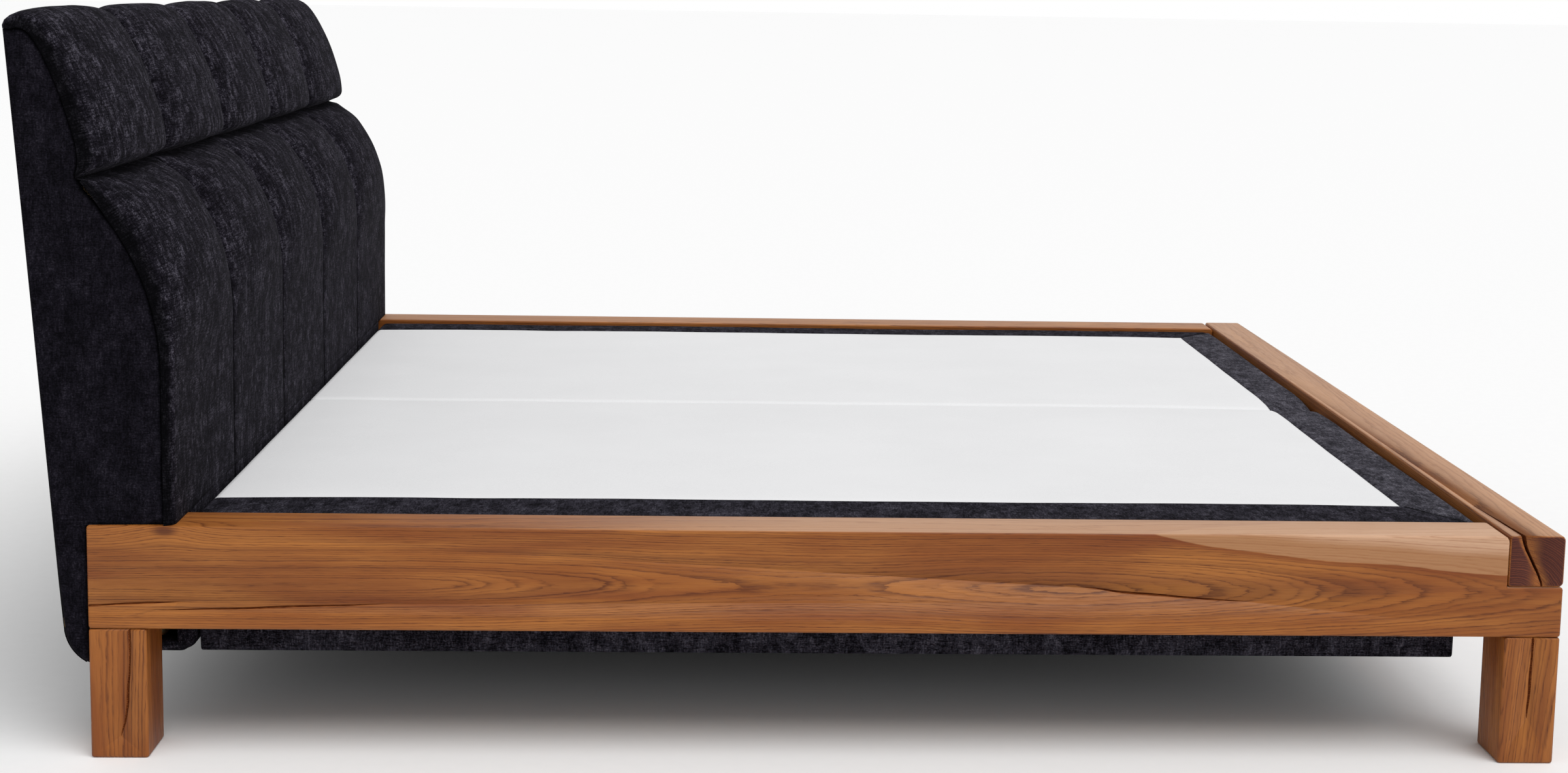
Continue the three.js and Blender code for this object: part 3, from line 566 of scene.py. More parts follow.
def oak(name, axis, pith, tilt=(0, 0, 0), seed=0.0, depth=None, sapwood=None, knots=(), tone=0.0, top_highlight=0.0,
        top_highlight_from=None):
    """Oiled wild oak. Rings lie round a pith line that runs along the beam's axis.

    pith is a point of that line and tilt its sideways drift per metre. depth is a curve of (x, how far
    the pith lies behind the outer face), and sapwood a curve of (x, height of the pale edge's border).
    The last two arguments give how pale the top faces are, a painted highlight, and the two places between which it
    turns so."""
    t = Tree(name, 0.42, 0.30)
    at = t.place()
    along = t.part(at, axis)
    moved = t.vector("ADD", at, (seed, seed * 1.7, seed * 0.6))
    place = at
    for scale, detail, reach in ((along_grain(axis, 6.0, 0.9), 2, 0.014), (along_grain(axis, 34.0, 8.0), 2, 0.0034),
                                 (along_grain(axis, 190.0, 30.0), 3, 0.0024), (along_grain(axis, 640.0, 60.0), 1, 0.0010)):
        waver = t.vector("SUBTRACT", t.noise(moved, scale, detail, output="Color"), (0.5, 0.5, 0.5))
        place = t.vector("ADD", place, t.vector("MULTIPLY", waver, (reach, reach, reach)))
    radius, dark_knot = ring_radius(t, place, along, axis, pith, tilt, depth, knots)
    uneven = t.noise(t.join(radius, seed, 0), (160, 1, 1), 1)
    turns = t.math("ADD", t.math("DIVIDE", radius, RING), t.math("MULTIPLY", uneven, 1.8))
    share = t.math("FRACT", turns)
    line = t.ramp(share, [(0, 1.0), (0.12, 0.78), (0.28, 0.28), (0.52, 0.03), (0.76, 0.0), (0.88, 0.2), (1, 1.0)])
    which = t.noise(t.join(t.math("FLOOR", turns), seed, 1), (0.71, 1, 1), 0)
    strength = t.math("MULTIPLY", line, t.spread(which, 0.34, 0.66, 0.22, 1))
    groups = t.spread(t.noise(t.join(radius, seed, 7), (85, 1, 1), 1), 0.4, 0.66)
    pores = t.noise(moved, along_grain(axis, 1000.0, 20.0), 2, 0.6)
    dashes = t.spread(t.noise(moved, along_grain(axis, 480.0, 30.0), 1), 0.56, 0.68)
    patches = t.noise(moved, along_grain(axis, 16.0, 2.2), 3, 0.6)
    base = t.mix(t.spread(patches, 0.32, 0.68), OAK_MID, OAK_LIGHT)
    base = t.mix(t.spread(t.noise(moved, along_grain(axis, 30.0, 1.6), 2), 0.5, 0.72, 0, 0.55), base, OAK_RED)
    if tone:
        base = t.mix(abs(tone), base, OAK_RED if tone < 0 else OAK_LIGHT)
    grain = t.math("MULTIPLY_ADD", strength, 0.78, t.math("MULTIPLY", groups, 0.26), clamp=True)
    grain = t.math("ADD", grain, t.math("MULTIPLY", dashes, t.math("MULTIPLY_ADD", line, 0.35, 0.06)), clamp=True)
    grain = t.math("ADD", grain, t.spread(pores, 0.35, 0.65, 0.14, -0.04), clamp=True)
    colour = t.mix(t.math("MULTIPLY", grain, 0.82), base, OAK_DARK)
    if sapwood:
        border = t.curve(along, sapwood[0][0], sapwood[-1][0], sapwood)
        behind = t.math("SUBTRACT", t.part(at, 1), -rail_high.y)
        above = t.math("SUBTRACT", t.math("SUBTRACT", t.part(place, 2), border), t.math("MULTIPLY", behind, 0.45))
        above = t.math("ADD", above, t.math("MULTIPLY", t.math("SUBTRACT", patches, 0.5), 0.012))
        pale = t.spread(above, -0.0005, 0.002)
        rim = t.math("MULTIPLY", t.spread(above, -0.010, -0.001), t.spread(above, -0.0005, 0.001, 1, 0))
        sap = t.mix(t.spread(above, 0.022, 0.045), OAK_SAP, OAK_PALE_SAP_AND_TOP_HIGHLIGHT)
        sap = t.mix(t.math("MULTIPLY", grain, 0.42), sap, OAK_MID)
        colour = t.mix(t.math("MULTIPLY", pale, 0.9), colour, sap)
        colour = t.mix(t.math("MULTIPLY", rim, 0.55), colour, OAK_RED)
    # Top faces painted paler by the way they face: a painted highlight standing in for light reflected off them.
    if top_highlight:
        top_highlight_mask = t.spread(t.part(t.facing(), 2), 0.7, 0.95, 0, top_highlight)
        if top_highlight_from:
            top_highlight_mask = t.math("MULTIPLY", top_highlight_mask, t.spread(along, *top_highlight_from))
        colour = t.mix(top_highlight_mask, colour, t.mix(t.math("MULTIPLY", grain, 0.35), OAK_PALE_SAP_AND_TOP_HIGHLIGHT, OAK_MID))
    if dark_knot is not None:
        colour = t.mix(t.math("MULTIPLY", dark_knot, 0.8), colour, linear(78, 32, 12))
    end = t.math("ABSOLUTE", t.vector("DOT_PRODUCT", t.facing(), along_grain(axis, 0.0, 1.0)))
    end = t.spread(end, 0.75, 0.95)
    speck = t.spread(t.noise(moved, (700, 700, 700), 1), 0.45, 0.7)
    cut = t.mix(t.math("MULTIPLY", t.math("POWER", line, 2), 0.75), OAK_END, OAK_END_LIGHT)
    cut = t.mix(t.math("MULTIPLY", speck, 0.3), cut, OAK_DARK)
    colour = t.mix(end, colour, cut)
    height = t.math("MULTIPLY_ADD", line, -0.4, t.math("MULTIPLY", pores, 0.6))
    height = t.math("SUBTRACT", height, t.math("MULTIPLY", dashes, 0.5))
    normal = t.bump(height, 0.0004, 0.5)
    rough = t.spread(pores, 0.3, 0.7, 0.55, 0.40)
    return t.finish(colour, normal, rough)


def crack_shade_wood(name):
    """Torn fibres inside a crack, coloured darker than the oak: painted shade."""
    t = Tree(name, 0.9, 0.1)
    fibres = t.noise(t.place(), (60, 700, 700), 3)
    colour = t.mix(t.spread(fibres, 0.35, 0.7), CRACK_SHADE_DARK, CRACK_SHADE_LIGHT)
    return t.finish(colour, t.bump(fibres, 0.001, 0.8))


CLOTH_DARK = linear(9, 8, 12)
CLOTH_MID = linear(30, 28, 35)
CLOTH_LIGHT = linear(92, 89, 100)


def chenille(name, dark=CLOTH_DARK, mid=CLOTH_MID, light=CLOTH_LIGHT, streak=1.0, sheen=0.02, ribs=1.0):
    """Woven chenille. Its weave attribute holds a point's place across and along the cloth and how far
    it is from a seam, in metres. Near a seam its colour is darkened towards black: painted shade."""
    t = Tree(name, 0.95, 0.03)
    t.shader.inputs["Sheen Weight"].default_value = sheen
    t.shader.inputs["Sheen Roughness"].default_value = 0.35
    t.shader.inputs["Sheen Tint"].default_value = linear(190, 188, 200)
    at = t.weave()
    cloth = t.join(t.part(at, 0), t.part(at, 1), 0)
    soft = t.noise(cloth, (24, 13, 1), 3, 0.6)
    slubs = t.noise(cloth, (85, 44, 1), 4, 0.68, 0.1)
    wefts = t.noise(cloth, (50, 360, 1), 3, 0.75)
    warps = t.noise(cloth, (400, 80, 1), 3, 0.75)
    tufts = t.noise(cloth, (300, 420, 1), 2, 0.7)
    lit = t.spread(slubs, 0.34, 0.68, 0, 0.44 * streak)
    lit = t.math("ADD", lit, t.spread(soft, 0.3, 0.7, 0, 0.26))
    lit = t.math("ADD", lit, t.spread(warps, 0.34, 0.68, -0.12, 0.18))
    lit = t.math("ADD", lit, t.spread(tufts, 0.36, 0.66, -0.14, 0.20))
    lit = t.math("SUBTRACT", lit, t.spread(wefts, 0.36, 0.50, 0.34 * ribs, 0))
    lit = t.math("ADD", lit, t.spread(wefts, 0.54, 0.70, 0, 0.16 * ribs))
    colour = t.ramp(lit, [(0.0, dark), (0.42, mid), (1.0, light)])
    # Painted shade: the cloth turns near black within about a centimetre of a seam, crease or edge.
    colour = t.mix(t.spread(t.part(at, 2), 0.001, 0.010, 0.85, 0), colour, linear(4, 4, 5))
    height = t.math("MULTIPLY_ADD", wefts, 0.7 * ribs, t.math("MULTIPLY", tufts, 0.5))
    height = t.math("MULTIPLY_ADD", slubs, 0.5, t.math("MULTIPLY_ADD", warps, 0.4, height))
    normal = t.bump(height, 0.0012, 0.8)
    return t.finish(colour, normal)


def ticking(name):
    """Pale knitted ticking with a fine twill and slight shading."""
    t = Tree(name, 0.85, 0.2)
    t.shader.inputs["Sheen Weight"].default_value = 0.15
    at = t.place()
    twill = t.math("SINE", t.vector("DOT_PRODUCT", at, (2600, 2600, 1800)))
    grain = t.noise(at, (700, 700, 700), 2)
    soft = t.noise(at, (3, 4, 4), 3, 0.6)
    colour = t.mix(soft, linear(230, 230, 231), linear(240, 240, 241))
    colour = t.mix(t.spread(grain, 0.3, 0.6, 0.25, 0), colour, linear(205, 205, 208))
    height = t.math("MULTIPLY_ADD", twill, 0.2, grain)
    return t.finish(colour, t.bump(height, 0.0005, 0.4))


def non_woven(name):
    """Thin spun-bonded cloth with a pressed grid of points."""
    t = Tree(name, 0.95, 0.15)
    at = t.place()
    dots = t.spread(t.cells(at, (420, 420, 420)), 0.2, 0.45)
    mottle = t.noise(at, (60, 60, 60), 3)
    colour = t.mix(dots, linear(20, 20, 23), t.mix(mottle, linear(30, 30, 34), linear(44, 44, 49)))
    return t.finish(colour, t.bump(dots, 0.0004, 0.6))


def softwood(name, axis, light, dark):
    """Planed batten wood with a grain along one axis."""
    t = Tree(name, 0.65, 0.3)
    at = t.place()
    scale = [70.0, 70.0, 70.0]
    scale[axis] = 2.2
    fine = [520.0, 520.0, 520.0]
    fine[axis] = 12.0
    bands = t.spread(t.noise(at, scale, 3, 0.5, 0.8), 0.42, 0.66)
    fibres = t.noise(at, fine, 2)
    colour = t.mix(bands, light, dark)
    colour = t.mix(t.spread(fibres, 0.3, 0.55, 0.3, 0), colour, dark)
    return t.finish(colour, t.bump(fibres, 0.0003, 0.4))


def plywood(name, through, light, dark, ply=0.0015):
    """Plywood whose layers lie along one axis: veneer on its faces and stripes on its edges."""
    t = Tree(name, 0.7, 0.3)
    at = t.place()
    veneer = t.spread(t.noise(at, (34, 26, 3.5), 3, 0.55, 1.1), 0.35, 0.7)
    layers = t.math("FRACT", t.math("DIVIDE", t.part(at, through), 2 * ply))
    stripes = t.spread(t.math("ABSOLUTE", t.math("SUBTRACT", layers, 0.5)), 0.2, 0.3)
    towards = [0.0, 0.0, 0.0]
    towards[through] = 1.0
    face = t.spread(t.math("ABSOLUTE", t.vector("DOT_PRODUCT", t.facing(), towards)), 0.6, 0.9)
    edge = t.mix(stripes, light, dark)
    colour = t.mix(face, edge, t.mix(t.math("MULTIPLY", veneer, 0.6), light, dark))
    return t.finish(colour, t.bump(t.noise(at, (260, 260, 30), 2), 0.0003, 0.4))


def foam(name, tint):
    """Open-celled foam."""
    t = Tree(name, 0.95, 0.15)
    at = t.place()
    pores = t.cells(at, (330, 330, 330))
    cloud = t.noise(at, (9, 9, 9), 3)
    # Darker in the pores: painted shade inside the foam's cells.
    colour = t.mix(t.spread(pores, 0.1, 0.5, 0.35, 0), tint, linear(170, 156, 120))
    colour = t.mix(t.math("MULTIPLY", cloud, 0.25), colour, linear(214, 200, 160))
    return t.finish(colour, t.bump(pores, 0.0012, 0.7))


def felt(name, first, second):
    """Matted fibres in several shades."""
    t = Tree(name, 1.0, 0.1)
    at = t.place()
    mat = t.noise(at, (260, 260, 260), 4, 0.7, 2.0)
    flecks = t.spread(t.noise(at, (120, 340, 120), 2), 0.6, 0.72)
    colour = t.mix(mat, first, second)
    colour = t.mix(t.math("MULTIPLY", flecks, 0.5), colour, linear(70, 78, 98))
    return t.finish(colour, t.bump(mat, 0.0012, 0.8))


def steel(name, colour, roughness, worn):
    """Zinc-plated or blackened steel with fine drawing marks."""
    t = Tree(name, roughness, 0.5)
    t.shader.inputs["Metallic"].default_value = 0.9
    at = t.place()
    marks = t.noise(at, (900, 900, 60), 2)
    cloud = t.noise(at, (45, 45, 45), 3)
    tint = t.mix(t.spread(cloud, 0.4, 0.7), colour, worn)
    rough = t.spread(marks, 0.3, 0.7, roughness - 0.08, roughness + 0.12)
    return t.finish(tint, t.bump(marks, 0.0002, 0.3), rough)


def threaded_steel(name):
    """Threaded rod: zinc with a fine thread relief along the rod."""
    t = Tree(name, 0.35, 0.5)
    t.shader.inputs["Metallic"].default_value = 0.9
    at = t.place()
    thread = t.math("SINE", t.math("MULTIPLY", t.part(at, 2), 2 * math.pi / 0.0015))
    # Lighter on the thread's crests and darker in its roots: painted highlight and painted shade.
    colour = t.mix(t.spread(thread, -1, 1), linear(96, 98, 102), linear(176, 178, 182))
    return t.finish(colour, t.bump(thread, 0.0008, 1))


def floor_material(name):
    """Matt pale floor with a barely visible texture."""
    t = Tree(name, 0.9, 0.1)
    grain = t.noise(t.place(), (40, 40, 40), 2)
    return t.finish(t.mix(grain, linear(247, 247, 247), linear(250, 250, 250)))


# Timber frame

def rect(low_a, high_a, low_b, high_b, radius=TIMBER_EDGE):
    return rounded_outline([(low_a, low_b, radius), (high_a, low_b, radius),
                            (high_a, high_b, radius), (low_a, high_b, radius)])


# The near rail's pith: how far it lies behind the outer face at places along the rail
NEAR_PITH = (
    (-1.10, 0.014), (-0.80, 0.010), (-0.56, 0.011), (-0.45, 0.017), (-0.31, 0.025), (-0.12, 0.036),
    (0.07, 0.040), (0.18, 0.037), (0.31, 0.031), (0.42, 0.029), (0.54, 0.033), (0.80, 0.050), (1.20, 0.075),
)
# The near rail's pale edge: the height of its lower border along the rail
NEAR_SAPWOOD = (
    (-1.20, 0.420), (0.30, 0.400), (0.53, 0.359), (0.62, 0.341), (0.73, 0.327), (0.81, 0.318),
    (0.93, 0.309), (0.99, 0.301), (1.08, 0.296), (1.20, 0.292),
)


def rail_outline():
    lap = beam_low.z - SEAT
    inner = beam_low.x - SEAT
    return rounded_outline([
        (rail_low.x, rail_low.z, TIMBER_EDGE),
        (rail_high.x, rail_low.z, TIMBER_EDGE),
        (rail_high.x, lap, TIMBER_EDGE),
        (inner, lap, FLAT_RIM),
        (inner, rail_high.z, LAP_CORNER),
        (rail_low.x, rail_high.z, TIMBER_EDGE),
    ])


def rail_cracks():
    face = -rail_high.y
    return [
        crack([(HEAD_X + 0.001, face, 0.236), (HEAD_X + 0.068, face, 0.240), (HEAD_X + 0.137, face, 0.243)],
              (0, 1, 0.1), 0.0034, 0.0028, ends=(1, 0), seed=1.0),
        crack([(HEAD_X + 0.102, face, 0.2295), (HEAD_X + 0.212, face, 0.233), (HEAD_X + 0.326, face, 0.237),
               (HEAD_X + 0.445, face, 0.242)], (0, 1, 0.1), 0.0034, 0.0028, seed=2.0),
        crack([(HEAD_X + 1.492, face, 0.274), (HEAD_X + 1.543, face, 0.269), (HEAD_X + 1.642, face, 0.260),
               (HEAD_X + 1.747, face, 0.254)], (0, 1, 0.15), 0.0040, 0.0034, seed=3.0),
    ]


def side_rails():
    rows = (
        ("left", -1, oak("oak_rail_left", 0, (0, -rail_high.y, 0.270), seed=0.0, depth=negated(NEAR_PITH),
                         sapwood=NEAR_SAPWOOD, knots=[((HEAD_X + 0.114, -rail_high.y, 0.353), 0.012)],
                         top_highlight=0.72, top_highlight_from=(HEAD_X + 0.5, HEAD_X + 1.15))),
        ("right", 1, oak("oak_rail_right", 0, (0, 0.93, 0.31), tilt=(0, 0.03, -0.02), seed=4.0, tone=0.2,
                         top_highlight=0.4)),
    )
    for side, sign, material in rows:
        ends = sorted((sign * rail_low.y, sign * rail_high.y))
        rail = timber(f"rail_{side}", rail_outline(), 1, *ends, material)
        cutters = [rod_bore(*rod_place(end, sign), rail_low.z - 0.02, rail_low.z + 0.1003) for end in ("head", "foot")]
        if sign < 0:
            cutters += rail_cracks()
        cut_away(rail, cutters)
        dress(rail, "frame", "wild_timber", f"side_rail_{side}")


def negated(points):
    return tuple((place, -value) for place, value in points)


def rod_place(end, sign):
    low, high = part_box(f"leg_rod_{end}_right")
    return (low.x + high.x) / 2, sign * (low.y + high.y) / 2


def beam_cracks():
    """The open crack from the foot beam's top, down its near end."""
    end = beam_low.y
    top = [(HEAD_X + 2.1620, 0.3600), (HEAD_X + 2.1675, 0.3400), (HEAD_X + 2.1790, 0.3180), (HEAD_X + 2.1900, 0.2970),
           (HEAD_X + 2.1960, 0.2785)]
    reach, steps, levels = 0.185, 16, 10
    line = np.array(top)
    shares = np.linspace(0, 1, levels + 1)
    place = shares * (len(line) - 1)
    x = np.interp(place, np.arange(len(line)), line[:, 0])
    z = np.interp(place, np.arange(len(line)), line[:, 1])
    z[0] += 0.004
    z[-1] -= 0.004
    points, faces = [], []
    for i in range(steps + 1):
        share = i / steps
        y = end - 0.004 + share * reach
        half = 0.0029 * (1 - share) ** 0.8 + 0.0002
        keep = 1 - 0.8 * share ** 0.7
        drift = -0.010 * share
        for side in (-1, 1):
            for level in range(levels + 1):
                place = shares[level] * keep
                at_x = np.interp(place, shares, x) + drift
                at_z = np.interp(place, shares, z)
                ripple = 0.0009 * noise.noise(Vector((at_z * 160, y * 40, side)))
                wide = half * (1 - 0.45 * shares[level]) + ripple * min(1, half / 0.001)
                points.append((at_x + side * wide, y, at_z))
    ring = 2 * (levels + 1)
    order = list(range(levels + 1)) + list(range(ring - 1, levels, -1))
    for i in range(steps):
        for k in range(ring):
            a, b = order[k], order[(k + 1) % ring]
            faces.append([i * ring + a, i * ring + b, (i + 1) * ring + b, (i + 1) * ring + a])
    faces.append([n for n in order][::-1])
    faces.append([steps * ring + n for n in order])
    return [mesh_object("cutter", points, faces, crack_shade_material, smooth=False)]


def foot_beam():
    outline = rounded_outline([
        (beam_low.x, beam_low.z, TIMBER_EDGE),
        (beam_high.x, beam_low.z, BEAM_CORNER),
        (beam_high.x, beam_high.z, BEAM_CORNER),
        (beam_low.x, beam_high.z, TIMBER_EDGE),
    ])
    material = oak("oak_foot_beam", 1, (beam_low.x + 0.02, 0, 0.255), tilt=(0.01, 0, 0.008), seed=7.0,
                   tone=-0.1, top_highlight=0.66)
    beam = timber("beam_foot", outline, 1, beam_low.y, beam_high.y, material)
    bores = [rod_bore(*rod_place("foot", sign), beam_low.z - 0.02, beam_low.z + 0.0603) for sign in (-1, 1)]
    cut_away(beam, bores + beam_cracks())
    dress(beam, "frame", "wild_timber", "foot_beam")


def leg_cracks(end, sign):
    """The cracks on the outer faces of the legs."""
    face = sign * leg_high.y
    into = (0.15, -sign, 0)
    if end == "head":
        path = [(0.061, 0.205), (0.060, 0.130), (0.057, 0.089), (0.052, 0.055), (0.046, 0.034)]
        start, width = HEAD_X, 0.0040
    else:
        path = [(0.0445, 0.205), (0.0435, 0.150), (0.0420, 0.100), (0.0412, 0.072)]
        start, width = rail_high.x - 0.0866, 0.0048
    points = [(start + x, face, z) for x, z in path]
    return [crack(points, into, width, 0.0036, ends=(1, 0), seed=5.0 + sign + start)]


def legs():
    for end in ("head", "foot"):
        for side, sign in (("left", -1), ("right", 1)):
            node = f"leg_{end}_{side}"
            low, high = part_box(node)
            seed = 10.0 + 3 * sign + (7 if end == "foot" else 0)
            pith = ((low.x + high.x) / 2 + 0.055 * (1 if end == "foot" else -1), sign * 0.90, 0)
            material = oak(f"oak_{node}", 2, pith, tilt=(0.05, 0.03, 0), seed=seed, tone=-0.2 if end == "head" else 0.1)
            leg = timber(f"post_{end}_{side}", rect(low.x, high.x, low.y, high.y), 2, low.z, high.z, material)
            cutters = [rod_bore(*rod_place(end, sign), high.z - 0.16, high.z + 0.02)]
            cut_away(leg, cutters + leg_cracks(end, sign))
            dress(leg, "frame", "wild_timber", node)


def centre_leg():
    low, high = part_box("centre_leg")
    material = oak("oak_centre_leg", 2, (low.x - 0.03, 0.05, 0), tilt=(0.04, 0, 0), seed=21.0)
    leg = timber("post_centre", rect(low.x, high.x, low.y, high.y), 2, low.z, high.z, material)
    dress(leg, "frame", "wild_timber", "centre_leg")


def dress(obj, body, slot, *nodes):
    """Puts a finished piece on its body and hides the nodes that it stands for. Its slot argument is not used."""
    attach(obj, body)
    if nodes:
        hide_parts(*nodes)
    return obj


# Headboard

def back_at(height):
    """The back face's x, counted from the rails' head end."""
    return -BACK_SETBACK - BACK_SLOPE * height


def smooth_step(low, high, value):
    share = np.clip((value - low) / (high - low), 0, 1)
    return share * share * (3 - 2 * share)


def catmull(points, count):
    """Points along a smooth curve through the given ones, its speed set by their distances."""
    points = np.asarray(points, float)
    whole = np.vstack([2 * points[0] - points[1], points, 2 * points[-1] - points[-2]])
    made = []
    for i in range(1, len(whole) - 2):
        p0, p1, p2, p3 = whole[i - 1:i + 3]
        t0 = 0.0
        t1 = t0 + np.linalg.norm(p1 - p0) ** 0.5
        t2 = t1 + np.linalg.norm(p2 - p1) ** 0.5
        t3 = t2 + np.linalg.norm(p3 - p2) ** 0.5
        for t in np.linspace(t1, t2, count, endpoint=False):
            a1 = (t1 - t) / (t1 - t0) * p0 + (t - t0) / (t1 - t0) * p1
            a2 = (t2 - t) / (t2 - t1) * p1 + (t - t1) / (t2 - t1) * p2
            a3 = (t3 - t) / (t3 - t2) * p2 + (t - t2) / (t3 - t2) * p3
            b1 = (t2 - t) / (t2 - t0) * a1 + (t - t0) / (t2 - t0) * a2
            b2 = (t3 - t) / (t3 - t1) * a2 + (t - t1) / (t3 - t1) * a3
            made.append((t2 - t) / (t2 - t1) * b1 + (t - t1) / (t2 - t1) * b2)
    made.append(points[-1])
    return np.array(made)


def resample(line, places):
    """The line's columns at distances along its first two."""
    length = np.concatenate([[0], np.cumsum(np.linalg.norm(np.diff(line[:, :2], axis=0), axis=1))])
    return np.stack([np.interp(places, length, line[:, k]) for k in range(line.shape[1])], axis=1), length[-1]


def with_normals(line):
    """Adds the outward direction to rows of x, z and crown that run down the front."""
    run = np.gradient(line[:, :2], axis=0)
    run /= np.linalg.norm(run, axis=1, keepdims=True)
    return np.column_stack([line, -run[:, 1], run[:, 0]])


def row_places(total, waist_at_end):
    """Distances along a tier, closer together near the waist."""
    near = 0.05 * np.linspace(0, 1, 22)[:-1] ** 1.4
    far = np.arange(0.05, total, ROW_STEP)
    places = np.unique(np.concatenate([near, far, [total]]))
    return total - places[::-1] if waist_at_end else places


def roll_line():
    """The upper tier: rows of x, z, crown share, outward x and z, and distance from the waist."""
    back = back_at(BOARD_TOP)
    depth = ROLL_FRONT - back
    shares = [*ROLL_SHARES, (1 - ROLL_TUCK / depth, 0.0005, 1)]
    curve = catmull([(back + d * depth, WAIST + h * ROLL_HEIGHT, c) for d, h, c in shares], 24)
    _, total = resample(curve, [0])
    places = row_places(total, True)
    rows, _ = resample(curve, places)
    return np.column_stack([with_normals(rows), total - places])


def belly_line():
    """The lower tier from the waist over the belly to the rails' top."""
    top = WAIST - BELLY_START
    height = top - BELLY_RISE
    depth = BOARD_FRONT - TUCK_X - BELLY_LIP
    radius = (BELLY_RISE ** 2 + depth ** 2) / (2 * depth)
    whole = math.asin(BELLY_RISE / radius)
    crowns = np.array(BELLY_CROWN_SHARES)
    rows = [(TUCK_X, WAIST - 0.0001, 1)]
    for share in np.linspace(1, 0, 90):
        angle = share * whole
        crown = np.interp(share, BELLY_ARC_SHARES, crowns)
        rows.append((BOARD_FRONT - radius + radius * math.cos(angle), height + radius * math.sin(angle), crown))
    plain = RAIL_TOP + (height - RAIL_TOP) * (1 - PLAIN_SHARE)
    for share in np.linspace(0, 1, 20)[1:]:
        z = height + (RAIL_TOP - height) * share
        rows.append((BOARD_FRONT, z, crowns[0] * smooth_step(plain, height, z) ** 0.7))
    curve = np.array(rows, float)
    _, total = resample(curve, [0])
    places = row_places(total, False)
    rows, _ = resample(curve, places)
    for _ in range(3):
        rows[1:-1, 2] = (rows[:-2, 2] + 2 * rows[1:-1, 2] + rows[2:, 2]) / 4
    return np.column_stack([with_normals(rows), places])


def channel_columns():
    """Places across the headboard, closer together at the seams and at its outer edges."""
    shares = 0.5 - 0.5 * np.cos(np.linspace(0, np.pi, COLUMNS_PER_CHANNEL + 1))
    places = [-HALF_BOARD + (channel + shares) * CHANNEL for channel in range(CHANNELS)]
    rim = np.array([0.01, 0.04, 0.1, 0.22, 0.4]) * COVER_EDGE
    return np.unique(np.round(np.concatenate([*places, -HALF_BOARD + rim, HALF_BOARD - rim]), 7))


def seam_distance(y):
    place = (y + HALF_BOARD) / CHANNEL
    off = np.abs(place - np.round(place)) * CHANNEL
    return np.minimum(off, HALF_BOARD - np.abs(y))


def pillow(seam, waist, turn):
    """How full a channel is, from its distances to the nearest seam and to the waist: 0 to 1."""
    across = (1 - (1 - np.clip(seam / (CHANNEL / 2), 0, 1)) ** 2.6) ** 0.55
    down = np.sqrt(1 - (1 - np.clip(waist / turn, 0, 1)) ** 2)
    return across * down


def inner_seam_distance(y):
    """The distance to the nearest seam between two channels, leaving out the headboard's outer edges."""
    place = (y + HALF_BOARD) / CHANNEL
    return np.abs(place - np.clip(np.round(place), 1, CHANNELS - 1)) * CHANNEL


def corner_notch(y, waist):
    """How far the cover is drawn in where two pillows' rounded corners meet the waist."""
    seam = inner_seam_distance(y)
    beyond = np.hypot(np.maximum(NOTCH_ROUND - seam, 0), np.maximum(NOTCH_ROUND - waist, 0)) - NOTCH_ROUND
    return NOTCH_DEPTH * smooth_step(0, NOTCH_ROUND * NOTCH_SHARE, beyond)


def edge_drop(y, half, edge):
    inside = np.clip(half - np.abs(y), 0, edge)
    return edge - np.sqrt(np.maximum(edge ** 2 - (edge - inside) ** 2, 0))


def wrinkle(points, size, depth, seed=0.0):
    """Small smooth unevenness at points, the same on every run."""
    return np.array([depth * noise.noise(Vector(p) / size + Vector((seed, 0, 0))) for p in points.reshape(-1, 3)]
                    ).reshape(points.shape[:-1])


def quilted(name, rows, y, crown, turn, lift, edge, material, nodes=()):
    """A part of the headboard's front: channelled outside, plain inside, its outer edges rounded."""
    y = y[None, :]
    half = y.max()
    x, z, share, nx, nz, waist = (rows[:, k][:, None] for k in range(6))
    seam = seam_distance(y)
    off_corner = np.maximum(PILLOW_ROUND - inner_seam_distance(y), 0)
    corner = PILLOW_ROUND - np.sqrt(PILLOW_ROUND ** 2 - off_corner ** 2)
    full = crown * share * pillow(seam, np.maximum(waist - corner, 0), turn)
    notch = corner_notch(y, waist)
    puff = SEAM_PUFF * (1 - np.exp(-np.minimum(seam, 2 * waist) / SEAM_REACH))
    drop = edge_drop(y, half, edge) * smooth_step(0, CREASE_SIDE, waist)
    flat = np.stack([x - nx * drop, y + 0 * x, z - lift(nz, z) * drop], axis=-1)
    rise = full + puff * np.clip((nz + 1) * 4 - 1, 0, 1)
    rise = rise + wrinkle(flat, 0.11, 0.0014, 3.0) * np.clip(seam / 0.06, 0, 1) * np.clip(waist / 0.05, 0, 1)
    outer = flat + np.stack([nx * rise - notch, 0 * rise, lift(nz, z) * rise], axis=-1)
    shrink = (half - edge) / half
    depth = np.maximum(COVER_THICKNESS, drop + RIM_TURN)
    inner = np.stack([x - nx * depth - notch, y * shrink + 0 * x, z - lift(nz, z) * depth], axis=-1)
    # The third weave value sets the chenille's painted shade: near a seam, near the waist crease, and falling to zero
    # in the corner notches.
    seam_shade_reach = np.minimum(seam, waist + 0.006) * (1 - notch / NOTCH_DEPTH)
    weave = np.stack([y + np.sign(y) * 1.3 * drop, waist + 0 * y, seam_shade_reach], axis=-1)
    obj = shell(name, outer, inner, material, weave)
    dress(obj, "frame", "chenille", *nodes)
    return obj


